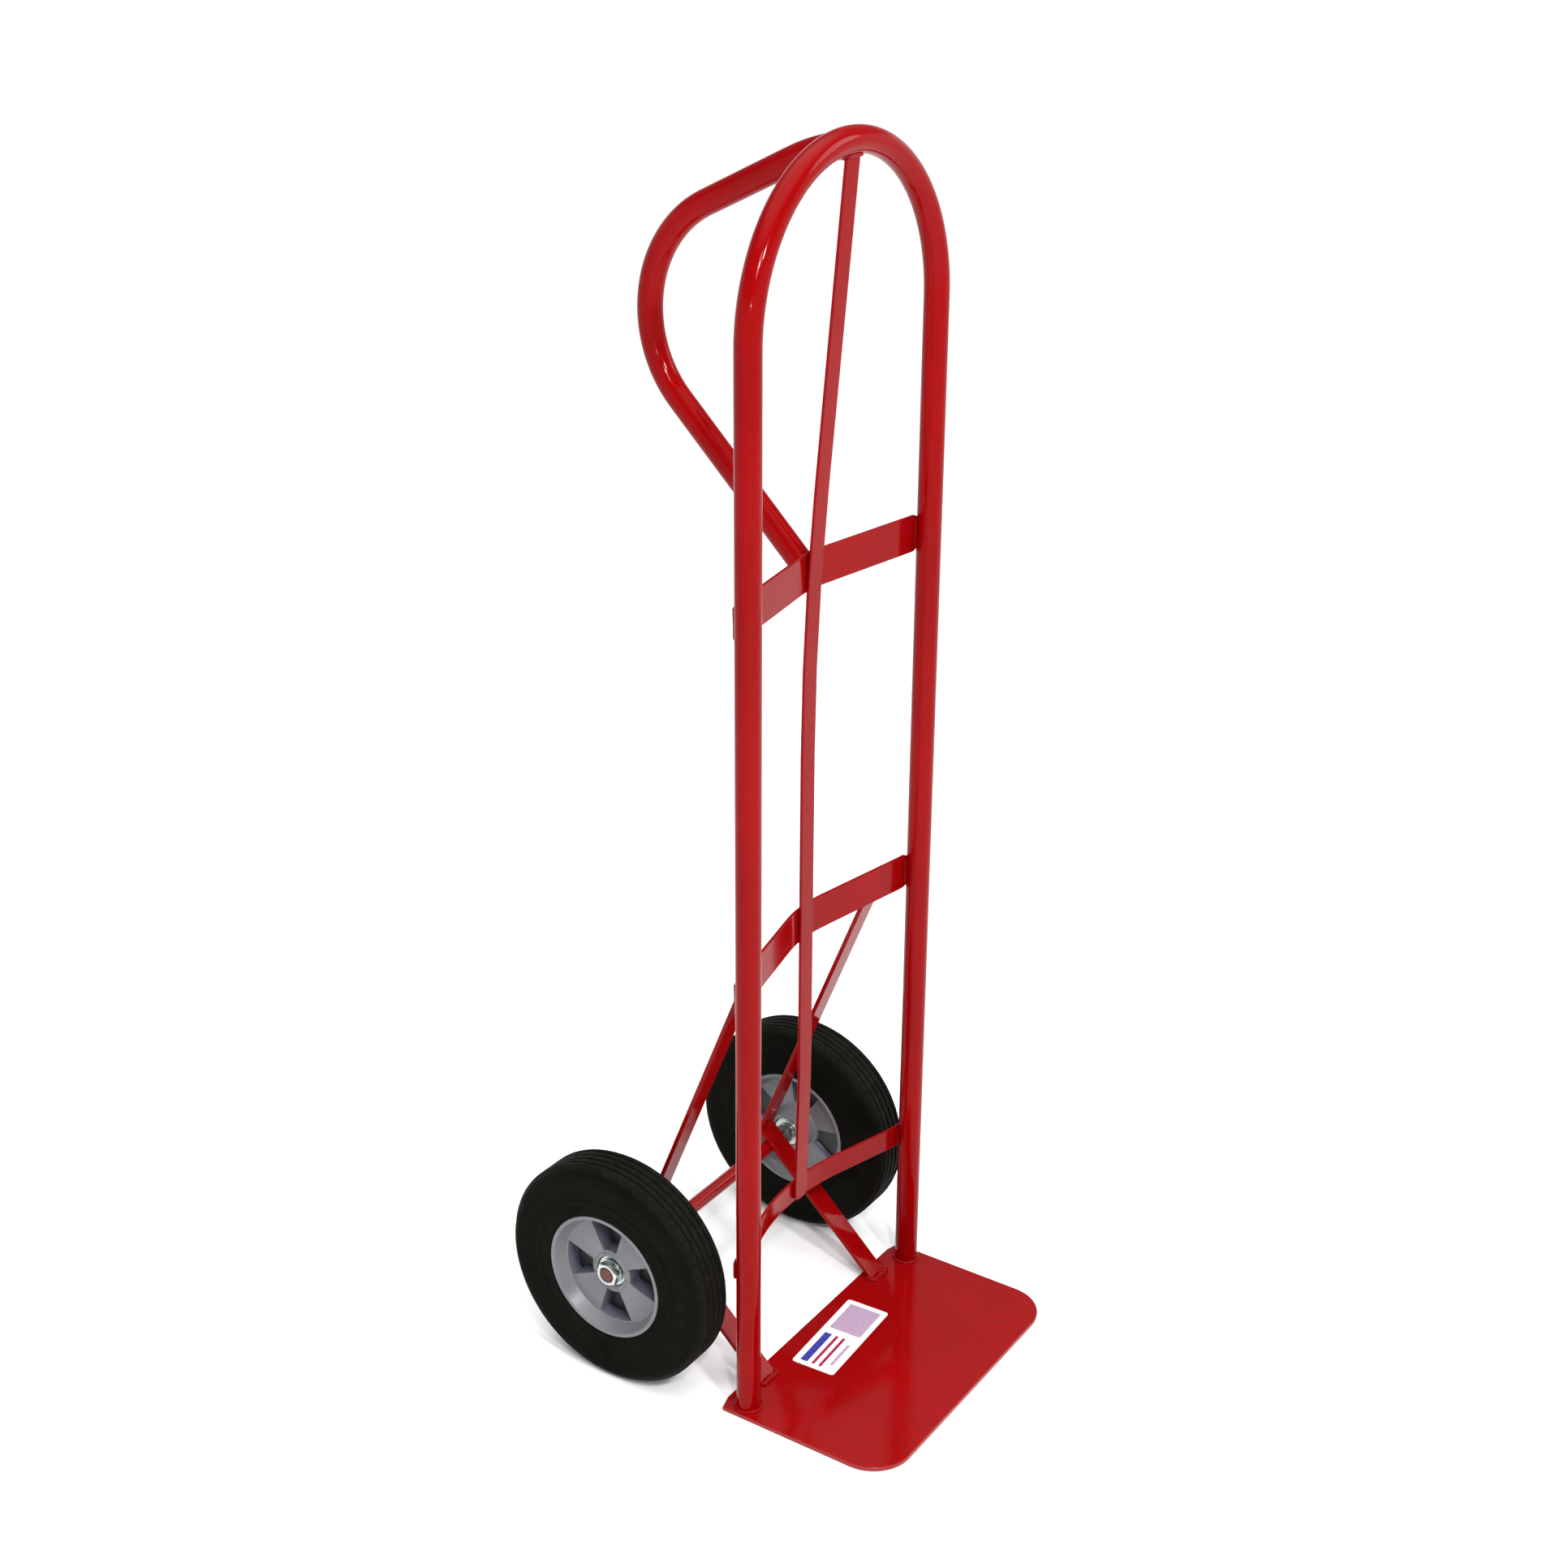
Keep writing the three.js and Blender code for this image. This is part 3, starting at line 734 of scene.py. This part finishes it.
def build_strap():
    top_y = STRAP_Y - STRAP_SLOPE * (STRAP_TOP - STRAP_KNEE_Z)
    corners = [(top_y, STRAP_TOP), (STRAP_Y, STRAP_KNEE_Z), (STRAP_Y, STRAP_FOOT_KNEE_Z)]
    corners.append((STRAP_FOOT_Y, strap_low.z))
    width = strap_high.x - strap_low.x
    path = Path(corners, [STRAP_KNEE_R, STRAP_FOOT_KNEE_R])
    end_radius = 8.5 * MM
    strap = flat_bar(path, side_on(0), X_AXIS, width, end_radius, STRAP_T)
    enamelled("centre_strap_bar", strap, "center_strap")
    centre = Vector((0, top_y + STRAP_T / 2, APEX_Z - TUBE_R - BEAD_OFF))
    margin = 0.6 * MM
    round_top = loop_of_rectangle(centre, Y_AXIS, X_AXIS, STRAP_T / 2 + margin, width / 2 + margin)
    bead("strap_top", round_top, 2.1 * MM, closed=True, seed=3)


def grip_path():
    """Back from the arch, down at the arm's angle, round the bend and forward to the upper bar."""
    knee = GRIP_START + heading(GRIP_START_ANGLE) * GRIP_ARM_KNEE
    upper, lower = heading(GRIP_ARM_ANGLE), heading(GRIP_FOOT_ANGLE)
    reach = cross(GRIP_FOOT - knee, lower) / cross(upper, lower)
    past_bar = 14 * MM
    corners = [GRIP_START, knee, knee + upper * reach, GRIP_FOOT - lower * past_bar]
    return Path(corners, [GRIP_ARM_R, GRIP_BEND_R])


def build_grip():
    strap_lean = STRAP_SLOPE * (STRAP_KNEE_Z - GRIP_STRAP_Z)
    strap_back = STRAP_Y + strap_lean + STRAP_T + BEAD_OFF
    bar_back = bar_front("upper") + BAR_T - SEAM

    def outside_loop(p):
        ring = math.hypot(p.x, p.z - ARCH_Z) - LEG_X
        return min(math.hypot(ring, p.y - PLANE_Y) - TUBE_R + SEAM, p.y - strap_back)

    def outside_bar(p):
        return p.y - bar_back + p.x**2 / (2 * BARS["upper"].bow)

    rings = tube_rings(grip_path(), outside_loop, outside_bar)
    enamelled("rear_grip_tube", loft(rings), "rear_grip")
    weld_grip_end("grip_top", rings[0], rings[1], 2.4 * MM)
    weld_grip_end("grip_foot", rings[-1], rings[-2], 2.3 * MM)


def weld_grip_end(name, ring, inner, radius):
    """A bead round the tube's last ring, a little out and away from the neighbour."""
    middle = sum(ring, Vector()) / len(ring)
    away = (sum(inner, Vector()) / len(inner) - middle).normalized()
    line = []
    for p in ring:
        out = p - middle
        out -= away * out.dot(away)
        line.append(p + out.normalized() * 0.6 * MM + away * 0.9 * MM)
    bead(name, line, radius, closed=True, seed=radius)


def bracket_path():
    """Down the upper leg, round the bend behind the axle and forward to the plate."""
    run = Vector((AXLE_Y, AXLE_Z)) - BRACKET_FOOT
    over = BRACKET_T + SEAM + AXLE_R
    slope = math.tan(math.atan2(run.y, run.x) + math.asin(over / run.length))
    top, foot, lean = BRACKET_TOP, BRACKET_FOOT, BRACKET_UPPER_SLOPE
    bend_y = (top.x + lean * (top.y - foot.y + slope * foot.x)) / (1 + lean * slope)
    bend = (bend_y, foot.y + slope * (bend_y - foot.x))
    # Both ends run on past the bar and the plate, to be cut off.
    above, below = 60 * MM, 30 * MM
    begin = (top.x - lean * above, top.y + above)
    end = (foot.x - below, foot.y - below * slope)
    return Path([begin, bend, end], [BRACKET_BEND_R]), slope


def behind_middle_bar(x):
    """The angle of the middle bar's straight half, and how far back its back face is there."""
    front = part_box("middle_crossbar")[0].y
    lean = math.atan2(PLANE_Y + BARS["middle"].peak.y - front, BAR_KNEE_X)
    return lean, front + (BAR_KNEE_X - abs(x)) * math.tan(lean) + BAR_T / math.cos(lean)


def build_brackets():
    """Flat bars bent round the axle, cut off against the middle bar and the plate."""
    path, slope = bracket_path()
    for name, side in SIDES.items():
        node = name + "_axle_bracket"
        low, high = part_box(node)
        x = (low.x + high.x) / 2
        width = high.x - low.x
        lean, back = behind_middle_bar(x)
        into_bar = Vector((-side * math.sin(lean), -math.cos(lean), 0))
        bracket = flat_bar(path, side_on(x), X_AXIS, width, BAR_CORNER, BRACKET_T)
        cut(bracket, Vector((x, back, 0)) + into_bar * SEAM, into_bar, BRACKET_TOP.y - 60 * MM)
        cut(bracket, Vector((x, 0, BRACKET_END)), Z_AXIS)
        cut(bracket, Vector((x, 0, PLATE_TOP - SEAM)), -Z_AXIS)
        enamelled(name + "_bracket_bar", bracket, node)
        weld_bracket_foot(name, side, x, width, slope)
        weld_bracket_top(name, side, x, width)
        weld_bracket_axle(name, side, x, width, slope)


def weld_bracket_foot(name, side, x, width, slope):
    """Round the sole of the lower leg, and a thicker bead along its toe."""
    sole_y = BRACKET_FOOT.x + (PLATE_TOP - BRACKET_FOOT.y) / slope
    sole_t = BRACKET_T / math.sin(math.atan(slope))
    centre = Vector((x, sole_y + sole_t / 2 - 0.6 * MM, PLATE_TOP + 1 * MM))
    sole = loop_of_rectangle(centre, Y_AXIS, X_AXIS, sole_t / 2 + 1 * MM, width / 2 + BEAD_OFF)
    bead(name + "_bracket_foot", sole, 2.9 * MM, closed=True, seed=side * 2)
    reach = width / 2 - 2 * MM
    toe = [Vector((x + s * reach, sole_y - 1.6 * MM, PLATE_TOP + 1.8 * MM)) for s in (-1, 1)]
    bead(name + "_bracket_toe", toe, 3.4 * MM, seed=side * 3)


def weld_bracket_top(name, side, x, width):
    """Round the upper leg where it meets the middle bar."""
    lean, back = behind_middle_bar(x)
    along = Vector((-side * math.cos(lean), math.sin(lean), 0))
    z_front = BRACKET_TOP.y + (BRACKET_TOP.x - back) / BRACKET_UPPER_SLOPE
    tall = BRACKET_T * math.hypot(1, BRACKET_UPPER_SLOPE) / BRACKET_UPPER_SLOPE
    centre = Vector((x, back + 0.6 * MM, z_front + tall / 2))
    ring = loop_of_rectangle(centre, Z_AXIS, along, tall / 2, width / 2 + BEAD_OFF)
    bead(name + "_bracket_top", ring, 1.9 * MM, closed=True, seed=side * 4)


def weld_bracket_axle(name, side, x, width, slope):
    """Two short beads where the lower leg lies on the axle."""
    leg = Vector((0, 1, slope)).normalized()
    down = Vector((0, slope, -1)).normalized()
    centre = Vector((x, AXLE_Y, AXLE_Z)) - down * (AXLE_R - 1.2 * MM)
    for end, way in (("front", -1), ("back", 1)):
        middle = centre + leg * (way * (AXLE_R - 2.2 * MM))
        line = [middle + X_AXIS * (s * (width / 2 - 1 * MM)) for s in (-1, 1)]
        bead(f"{name}_axle_{end}", line, 1.9 * MM, seed=side * 5 + way)


def plate_outline():
    """Round front corners and clipped rear ones, anticlockwise from the left."""
    low, high, r = plate_low, plate_high, PLATE_CORNER_R
    steps = 16
    points = []
    for centre_x, start in ((low.x + r, 180), (high.x - r, 270)):
        for i in range(steps + 1):
            a = math.radians(start + 90 * i / steps)
            points.append((centre_x + r * math.cos(a), low.y + r + r * math.sin(a)))
    rear = [(high.x, high.y - PLATE_CLIP.y), (high.x - PLATE_CLIP.x, high.y)]
    return points + rear + [(-x, y) for x, y in reversed(rear)]


def build_plate():
    bm = bmesh.new()
    edge_mark = bm.verts.layers.float.new("edge")
    sole = bm.faces.new([bm.verts.new((x, y, plate_low.z)) for x, y in plate_outline()])
    grown = bmesh.ops.extrude_face_region(bm, geom=[sole])["geom"]
    for v in grown:
        if isinstance(v, bmesh.types.BMVert):
            v.co.z = PLATE_TOP
    rims = [e for e in bm.edges if abs(e.verts[0].co.z - e.verts[1].co.z) < 1e-6]
    made = bmesh.ops.bevel(bm, geom=rims, offset=PLATE_EDGE_R, segments=3, affect="EDGES", profile=0.5)
    for v in made["verts"]:
        v[edge_mark] = 1.0
    enamelled("toe_plate_steel", bm, "toe_plate", PLATE_ENAMEL)


def label_inks():
    return [
        print_film("label_white", (0.8, 0.78, 0.79)),
        print_film("label_red", (0.34, 0.012, 0.06), 0.1),
        print_film("label_blue", (0.035, 0.04, 0.3), 0.1),
        print_film("label_grey", (0.42, 0.3, 0.42), 0.1),
    ]


# Each printed block's extent along the label and across it, and its ink.
LABEL_BLOCKS = (
    (8 * MM, 57 * MM, -19 * MM, 19 * MM, 3),
    (-57 * MM, -2 * MM, 10 * MM, 18.5 * MM, 2),
    (-57 * MM, -2 * MM, 1.5 * MM, 5 * MM, 1),
    (-57 * MM, -2 * MM, -7 * MM, -3.5 * MM, 1),
    (-49 * MM, -10 * MM, -17 * MM, -13.5 * MM, 3),
)


def label_marks(half, first):
    """Where the film's grid is cut along one side: its corners and the blocks' edges."""
    rims = {-half, half, LABEL_CORNER_R - half, half - LABEL_CORNER_R}
    return sorted(rims | {block[i] for block in LABEL_BLOCKS for i in (first, first + 1)})


def label_point(u, v):
    """A grid point, pulled in if it is a corner, so that the film's corners are rounded."""
    inner = LABEL_HALF - Vector((LABEL_CORNER_R, LABEL_CORNER_R))
    du, dv = abs(u) - inner.x, abs(v) - inner.y
    if du > 0 and dv > 0:
        k = LABEL_CORNER_R / math.hypot(du, dv)
        u = math.copysign(inner.x + du * k, u)
        v = math.copysign(inner.y + dv * k, v)
    return Vector((u, v, 0))


def build_label():
    """White film with plain printed rules and blocks, and no lettering."""
    low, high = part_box("toe_plate_label")
    centre = Vector(((low.x + high.x) / 2, (low.y + high.y) / 2, 0))
    turn = Matrix.Rotation(LABEL_TURN, 3, "Z")
    us, vs = label_marks(LABEL_HALF.x, 0), label_marks(LABEL_HALF.y, 2)
    bm = bmesh.new()
    bottom, top = (
        [[bm.verts.new(turn @ label_point(u, v) + centre + Z_AXIS * z) for v in vs] for u in us]
        for z in (low.z, high.z)
    )
    last_u, last_v = len(us) - 1, len(vs) - 1
    for i in range(last_u):
        for j in range(last_v):
            u, v = (us[i] + us[i + 1]) / 2, (vs[j] + vs[j + 1]) / 2
            ink = next((b[4] for b in LABEL_BLOCKS if b[0] < u < b[1] and b[2] < v < b[3]), 0)
            for layer in (bottom, top):
                cell = (layer[i][j], layer[i + 1][j], layer[i + 1][j + 1], layer[i][j + 1])
                bm.faces.new(cell).material_index = ink if layer is top else 0
    half_rim = [(i, 0) for i in range(last_u)] + [(last_u, j) for j in range(last_v)]
    rim = half_rim + [(last_u - i, last_v - j) for i, j in half_rim]
    for (i, j), (k, m) in zip(rim, rim[1:] + rim[:1]):
        bm.faces.new((bottom[i][j], bottom[k][m], top[k][m], top[i][j]))
    film = new_object("plate_label_film", bm)
    place(film, label_inks(), ROOT, "toe_plate_label")


# ----- running gear -----
# A pocket's stages are its rim, edge, lip, wall foot and floor. These are how far in from the rim
# each one is, and the painted shade of its points, darker down the pocket.
STAGE_OFFSETS = (0.0, 0.6 * MM, 0.85 * MM, 1.25 * MM, 2.4 * MM)
STAGE_SHADE = (0.0, 0.0, 0.1, 0.45, 1.0)
FLOOR_STAGE = 4
HARD_ANGLE = 50  # degrees, above which an edge of a turned piece looks sharp
OUTER_DEPTH = 14.5 * MM
INNER_DEPTH = 6.5 * MM


def stage_drop(stage, depth):
    """How far below the hub's face a pocket's stage is."""
    return (0.0, 0.12 * MM, 0.6 * MM, depth - 1.3 * MM, depth)[stage]


def hub_profile():
    """The hub's closed profile as (radius, outward) in metres.

    Points in the pockets' zones also carry their stage and how deep a pocket is on that face."""
    p = []

    def plain(*points):
        p.extend((r * MM, s * MM) for r, s in points)

    def pocket(r_from, r_to, s, depth):
        """From the pocket's rim at r_from over its floor to its rim at r_to."""
        way = math.copysign(1, r_to - r_from)
        down = range(FLOOR_STAGE + 1)
        for rim, direction, stages in ((r_from, way, down), (r_to, -way, reversed(down))):
            for stage in stages:
                r = rim * MM + direction * STAGE_OFFSETS[stage]
                p.append((r, s * MM, stage, math.copysign(depth, s)))

    plain((12, -0.7), (15.2, -0.7), (15.3, -0.5), (15.3, 9.3), (15.5, 9.5), (17.5, 9.5))
    plain((17.7, 9.7), (17.7, 13.4), (18.1, 13.9), (18.7, 14), (20.9, 14), (21.6, 13.7))
    plain((21.9, 13.1), (22.3, 12.7), (23, 12.5))
    pocket(24, 59.5, 12.5, OUTER_DEPTH)
    rim = ((60, 12.55), (60.5, 12.9), (66, 24.6), (66.3, 25.4), (66.9, 26.1), (67.5, 26.3))
    rim += ((70, 26.3), (70.5, 26.1), (70.7, 25.6))
    plain(*rim, (70.7, 0), *((r, -s) for r, s in reversed(rim)))
    pocket(59.5, 29, -12.5, INNER_DEPTH)
    plain((28, -12.5), (27.2, -12.8), (24.2, -18.6), (22.6, -33.2), (22.2, -33.9), (21.6, -34))
    plain((18.7, -34), (18.1, -33.9), (17.7, -33.4), (17.7, -29.7), (17.5, -29.5))
    plain((15.5, -29.5), (15.3, -29.3), (15.3, -19.5), (15.2, -19.3), (12, -19.3))
    return p


def hub_columns():
    """(angle, offset in metres, pocket stage) round the hub, close together at pocket walls."""
    floor_steps, spoke_steps = 12, 14
    down = range(FLOOR_STAGE + 1)
    spoke = 2 * math.pi / POCKETS - 2 * POCKET_HALF
    columns = []
    for i in range(POCKETS):
        begin = 2 * math.pi * i / POCKETS - POCKET_HALF
        end = begin + 2 * POCKET_HALF
        columns += [(begin, STAGE_OFFSETS[stage], stage) for stage in down]
        floor = [begin + 2 * POCKET_HALF * k / floor_steps for k in range(1, floor_steps)]
        columns += [(angle, 0.0, FLOOR_STAGE) for angle in floor]
        columns += [(end, -STAGE_OFFSETS[stage], stage) for stage in reversed(down)]
        columns += [(end + spoke * k / spoke_steps, 0.0, 0) for k in range(1, spoke_steps)]
    return columns


def hub_mesh(side, turn):
    """The hub, with a mark on each point that says how far down a pocket it is, for painted shade."""
    least_r = 22 * MM  # nearer the axle the columns keep their angles and do not cross
    rings, pocket_shade = [], []
    for base, offset, column_stage in hub_columns():
        ring = []
        for r, s, *pocket in hub_profile():
            angle = base + turn + offset / max(r, least_r)
            stage = 0
            if pocket:
                profile_stage, depth = pocket
                stage = min(column_stage, profile_stage)
                s -= math.copysign(stage_drop(stage, abs(depth)), depth)
            pocket_shade.append(STAGE_SHADE[stage])
            ring.append(wheel_point(side, r, s, angle))
        rings.append(ring)
    bm = loft(rings, closed=True)
    # The layer holds the painted shade of each point.
    layer = bm.verts.layers.float.new("pocket_shade")
    bm.verts.ensure_lookup_table()
    for v, deep in zip(bm.verts, pocket_shade):
        v[layer] = deep
    return bm


def tyre_profile():
    """The tyre's closed profile in millimetres: soft sidewalls and a ribbed flat tread."""
    half_width = TYRE_HALF / MM
    top = TYRE_R / MM
    wall = [(71.2, 25.2), (71.5, 26.2), (73, 26.7), (84.5, 26.2), (86.2, 26.9), (88.4, 26.9)]
    wall += [(90.2, 26.0), (98, 26.3)]
    # The shoulder, as (radius, how far in from the full width).
    shoulder = [(106, 0.1), (112, 0), (116.5, 0.6), (120.2, 2.2), (122.6, 4.3), (124.1, 6.6)]
    shoulder += [(124.9, 8.3), (125.6, 9.0), (top - 0.5, 9.5), (top - 0.12, 10.2)]
    wall += [(r, half_width - inset) for r, inset in shoulder]
    groove = [(1.9, 0), (1.45, 0.2), (1.0, 1.9), (0.5, 2.2)]
    groove += [(-ds, depth) for ds, depth in reversed(groove)]
    grooves_at = (12.4, 4.2, -4.2, -12.4)
    tread = [(top - depth, s + ds) for s in grooves_at for ds, depth in groove]
    return wall + tread + [(r, -s) for r, s in reversed(wall)]


def turned_zinc(name, profile, body, side, node, soft):
    bm = revolved(softened(profile, soft), 96, side)
    place(new_object(name, bm, HARD_ANGLE), ZINC, body, node)


def nut_mesh(side, low_s, high_s, flats, bore, turn):
    """A hexagon nut with chamfered corners, as rings from the bore out and back."""
    count = 96
    soft = 0.25 * MM
    rings = []
    for j in range(count):
        a = 2 * math.pi * j / count
        sector = (a + math.pi / 6) % (math.pi / 3) - math.pi / 6
        reach = flats / 2 / math.cos(sector)
        chamfer = max(0.0, reach - flats / 2) * 0.55
        profile = [
            (bore + 0.5 * MM, low_s),
            (min(reach, flats / 2 - soft), low_s),
            (reach, low_s + chamfer + soft),
            (reach, high_s - chamfer - soft),
            (min(reach, flats / 2 - soft), high_s),
            (bore + 0.9 * MM, high_s),
            (bore, high_s - 0.7 * MM),
            (bore, low_s + 0.5 * MM),
        ]
        rings.append([wheel_point(side, r, s, a + turn) for r, s in profile])
    return loft(rings, closed=True)


BORE_R = AXLE_R / MM + 0.3  # of what the axle runs through, in millimetres


def outward_span(node, side):
    """A running-gear node's extent outward from the wheel's middle plane, in millimetres."""
    low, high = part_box(node)
    return sorted((side * x - WHEEL_X) / MM for x in (low.x, high.x))


def build_hub_and_tyre(name, side):
    body = name + "_wheel"
    hub = new_object(name + "_hub_moulding", hub_mesh(side, WHEEL_TURN[name]), HARD_ANGLE)
    place(hub, PLASTIC, body, name + "_hub")
    tyre = revolved(softened(tyre_profile(), 0.5, 2), 192, side)
    solid_tyre = new_object(name + "_solid_tyre", tyre, HARD_ANGLE)
    place(solid_tyre, RUBBER, body, name + "_tyre")


# A bearing cup's section, as (radius, depth from its face) in millimetres.
CUP = ((11.2, 0), (12.2, 0), (12.9, 0.35), (14.6, 0.35), (15.2, 0), (16.6, 0), (17.4, 0.7))
CUP += ((17.4, 1.6), (15, 1.6), (15, 10), (11.2, 10))


def build_bearing(name, which, side):
    """The cup turns with the wheel, and the cone stays on the axle."""
    node = f"{name}_{which}_bearing_cup"
    low, high = outward_span(node, side)
    face, way = (high, -1) if which == "outer" else (low, 1)
    cup = [(r, face + way * depth) for r, depth in CUP]
    turned_zinc(f"{name}_{which}_race", cup, name + "_wheel", side, node, 0.25)
    node = f"{name}_{which}_bearing_cone"
    cone = ring_profile(outward_span(node, side), 10.8)
    turned_zinc(f"{name}_{which}_cone", cone, ROOT, side, node, 0.5)


def ring_profile(span, outer_r):
    """A plain ring on the axle, in millimetres."""
    low, high = span
    return [(BORE_R, low), (outer_r, low), (outer_r, high), (BORE_R, high)]


def build_clamped_rings(name, side):
    """The washer, spacer and nut, which stay still with the axle."""
    for node, outer_r, soft, piece in (
        (name + "_axle_washer", 13.4, 0.4, name + "_washer"),
        (name + "_axle_spacer", 11.5, 0.6, name + "_spacer_sleeve"),
    ):
        ring = ring_profile(outward_span(node, side), outer_r)
        turned_zinc(piece, ring, ROOT, side, node, soft)
    node = name + "_axle_nut"
    low, high = outward_span(node, side)
    nut = nut_mesh(side, low * MM, high * MM, 23.8 * MM, BORE_R * MM, math.radians(16))
    hex_nut = new_object(name + "_hex_nut", nut, smooth_angle=25)
    place(hex_nut, ZINC, ROOT, node)


def build_axle():
    """A chamfered rod, with rings close enough together for even shading."""
    half, chamfer = axle_high.x, 0.9 * MM
    end = [(half, AXLE_R - chamfer), (half - chamfer, AXLE_R)]
    profile = end + [(x, AXLE_R) for x in (0.16, 0.1, 0.0, -0.1, -0.16)]
    profile += [(-x, r) for x, r in reversed(end)]
    rings = [circle(Vector((x, AXLE_Y, AXLE_Z)), Y_AXIS, Z_AXIS, r, ROD_SIDES) for x, r in profile]
    place(new_object("axle_rod", loft(rings)), AXLE_PAINT, ROOT, "axle")


build_loop()
build_crossbars()
build_strap()
build_grip()
build_brackets()
build_plate()
build_label()
build_axle()
for wheel, wheel_side in SIDES.items():
    build_hub_and_tyre(wheel, wheel_side)
    build_bearing(wheel, "outer", wheel_side)
    build_bearing(wheel, "inner", wheel_side)
    build_clamped_rings(wheel, wheel_side)


# ----- stage, light and camera -----
def build_stage():
    bpy.ops.mesh.primitive_plane_add(size=80)
    floor = bpy.context.object
    floor.name = "floor"
    n = Nodes("pale_floor")
    pale, paler = (0.955, 0.955, 0.955), (0.965, 0.965, 0.965)
    n.set(
        Base_Color=n.mix(n.ramp(n.noise(2.0, 3), 0.3, 0.7), pale, paler),
        Roughness=0.9,
        Specular_IOR_Level=0.1,
    )
    floor.data.materials.append(n.material)


TOP_GLOW = 2.4
WALL_GLOW = 0.11  # of the walls and the horizon, as parts of the overhead light
HORIZON_GLOW = 0.42
LIGHT_TARGET = Vector((0, 0, 0.5))
CAMERA_AT = Vector((-1.70403, PLANE_Y - 1.06595, 1.50308))
CAMERA_TURN = (-56.384, -22.883, 0.347)  # yaw, pitch and roll in degrees
LENS_MM = 50.62


def build_world():
    """A broad soft light overhead and dim walls all round, as in a studio."""
    world = bpy.data.worlds.new("studio")
    bpy.context.scene.world = world
    world.use_nodes = True
    tree = world.node_tree
    background = tree.nodes["Background"]
    where = tree.nodes.new("ShaderNodeTexCoord")
    axes = tree.nodes.new("ShaderNodeSeparateXYZ")
    tree.links.new(where.outputs["Generated"], axes.inputs["Vector"])
    glow = tree.nodes.new("ShaderNodeValToRGB")
    glow.color_ramp.interpolation = "EASE"
    horizon, overhead = glow.color_ramp.elements
    horizon.position, horizon.color = 0.16, (HORIZON_GLOW, HORIZON_GLOW, HORIZON_GLOW, 1)
    overhead.position, overhead.color = 0.95, (1, 1, 1, 1)
    for height in (0.36, 0.62):
        wall = glow.color_ramp.elements.new(height)
        wall.color = (WALL_GLOW, WALL_GLOW, WALL_GLOW, 1)
    tree.links.new(axes.outputs["Z"], glow.inputs["Fac"])
    strength = tree.nodes.new("ShaderNodeMath")
    strength.operation = "MULTIPLY"
    strength.inputs[1].default_value = TOP_GLOW
    tree.links.new(glow.outputs["Color"], strength.inputs[0])
    tree.links.new(strength.outputs["Value"], background.inputs["Strength"])
    background.inputs["Color"].default_value = (1, 1, 1, 1)


def area_light(name, at, size, power):
    data = bpy.data.lights.new(name, "AREA")
    data.shape = "DISK"
    data.size = size
    data.energy = power
    light = bpy.data.objects.new(name, data)
    light.location = at
    light.rotation_euler = (LIGHT_TARGET - Vector(at)).to_track_quat("-Z", "Y").to_euler()
    bpy.context.scene.collection.objects.link(light)


def build_lights():
    """Two soft boxes, and small lamps for bright lines along the tubes."""
    area_light("key_softbox", at=(-2.6, -2.2, 3.2), size=0.9, power=34)
    area_light("fill_softbox", at=(2.6, -2.4, 2.6), size=1.6, power=30)
    area_light("lamp_a", at=(-1.15, -2.0, 2.5), size=0.22, power=40)
    area_light("lamp_b", at=(-1.75, -1.6, 2.5), size=0.14, power=20)
    area_light("front_lamp", at=(-1.72, -1.13, 1.56), size=0.05, power=3.2)


def build_camera():
    """A 50 mm view from the front left, a little above the load."""
    data = bpy.data.cameras.new("camera")
    data.lens = LENS_MM
    camera = bpy.data.objects.new("camera", data)
    yaw, pitch, roll = (math.radians(a) for a in CAMERA_TURN)
    forward = Vector(
        (-math.sin(yaw) * math.cos(pitch), math.cos(yaw) * math.cos(pitch), math.sin(pitch))
    )
    level = forward.cross(Z_AXIS).normalized()
    upright = level.cross(forward)
    right = level * math.cos(roll) + upright * math.sin(roll)
    up = upright * math.cos(roll) - level * math.sin(roll)
    turn = Matrix((right, up, -forward)).transposed().to_4x4()
    camera.matrix_world = Matrix.Translation(CAMERA_AT) @ turn
    bpy.context.scene.collection.objects.link(camera)
    bpy.context.scene.camera = camera


build_stage()
build_world()
build_lights()
build_camera()
bpy.context.scene.view_settings.view_transform = "Standard"
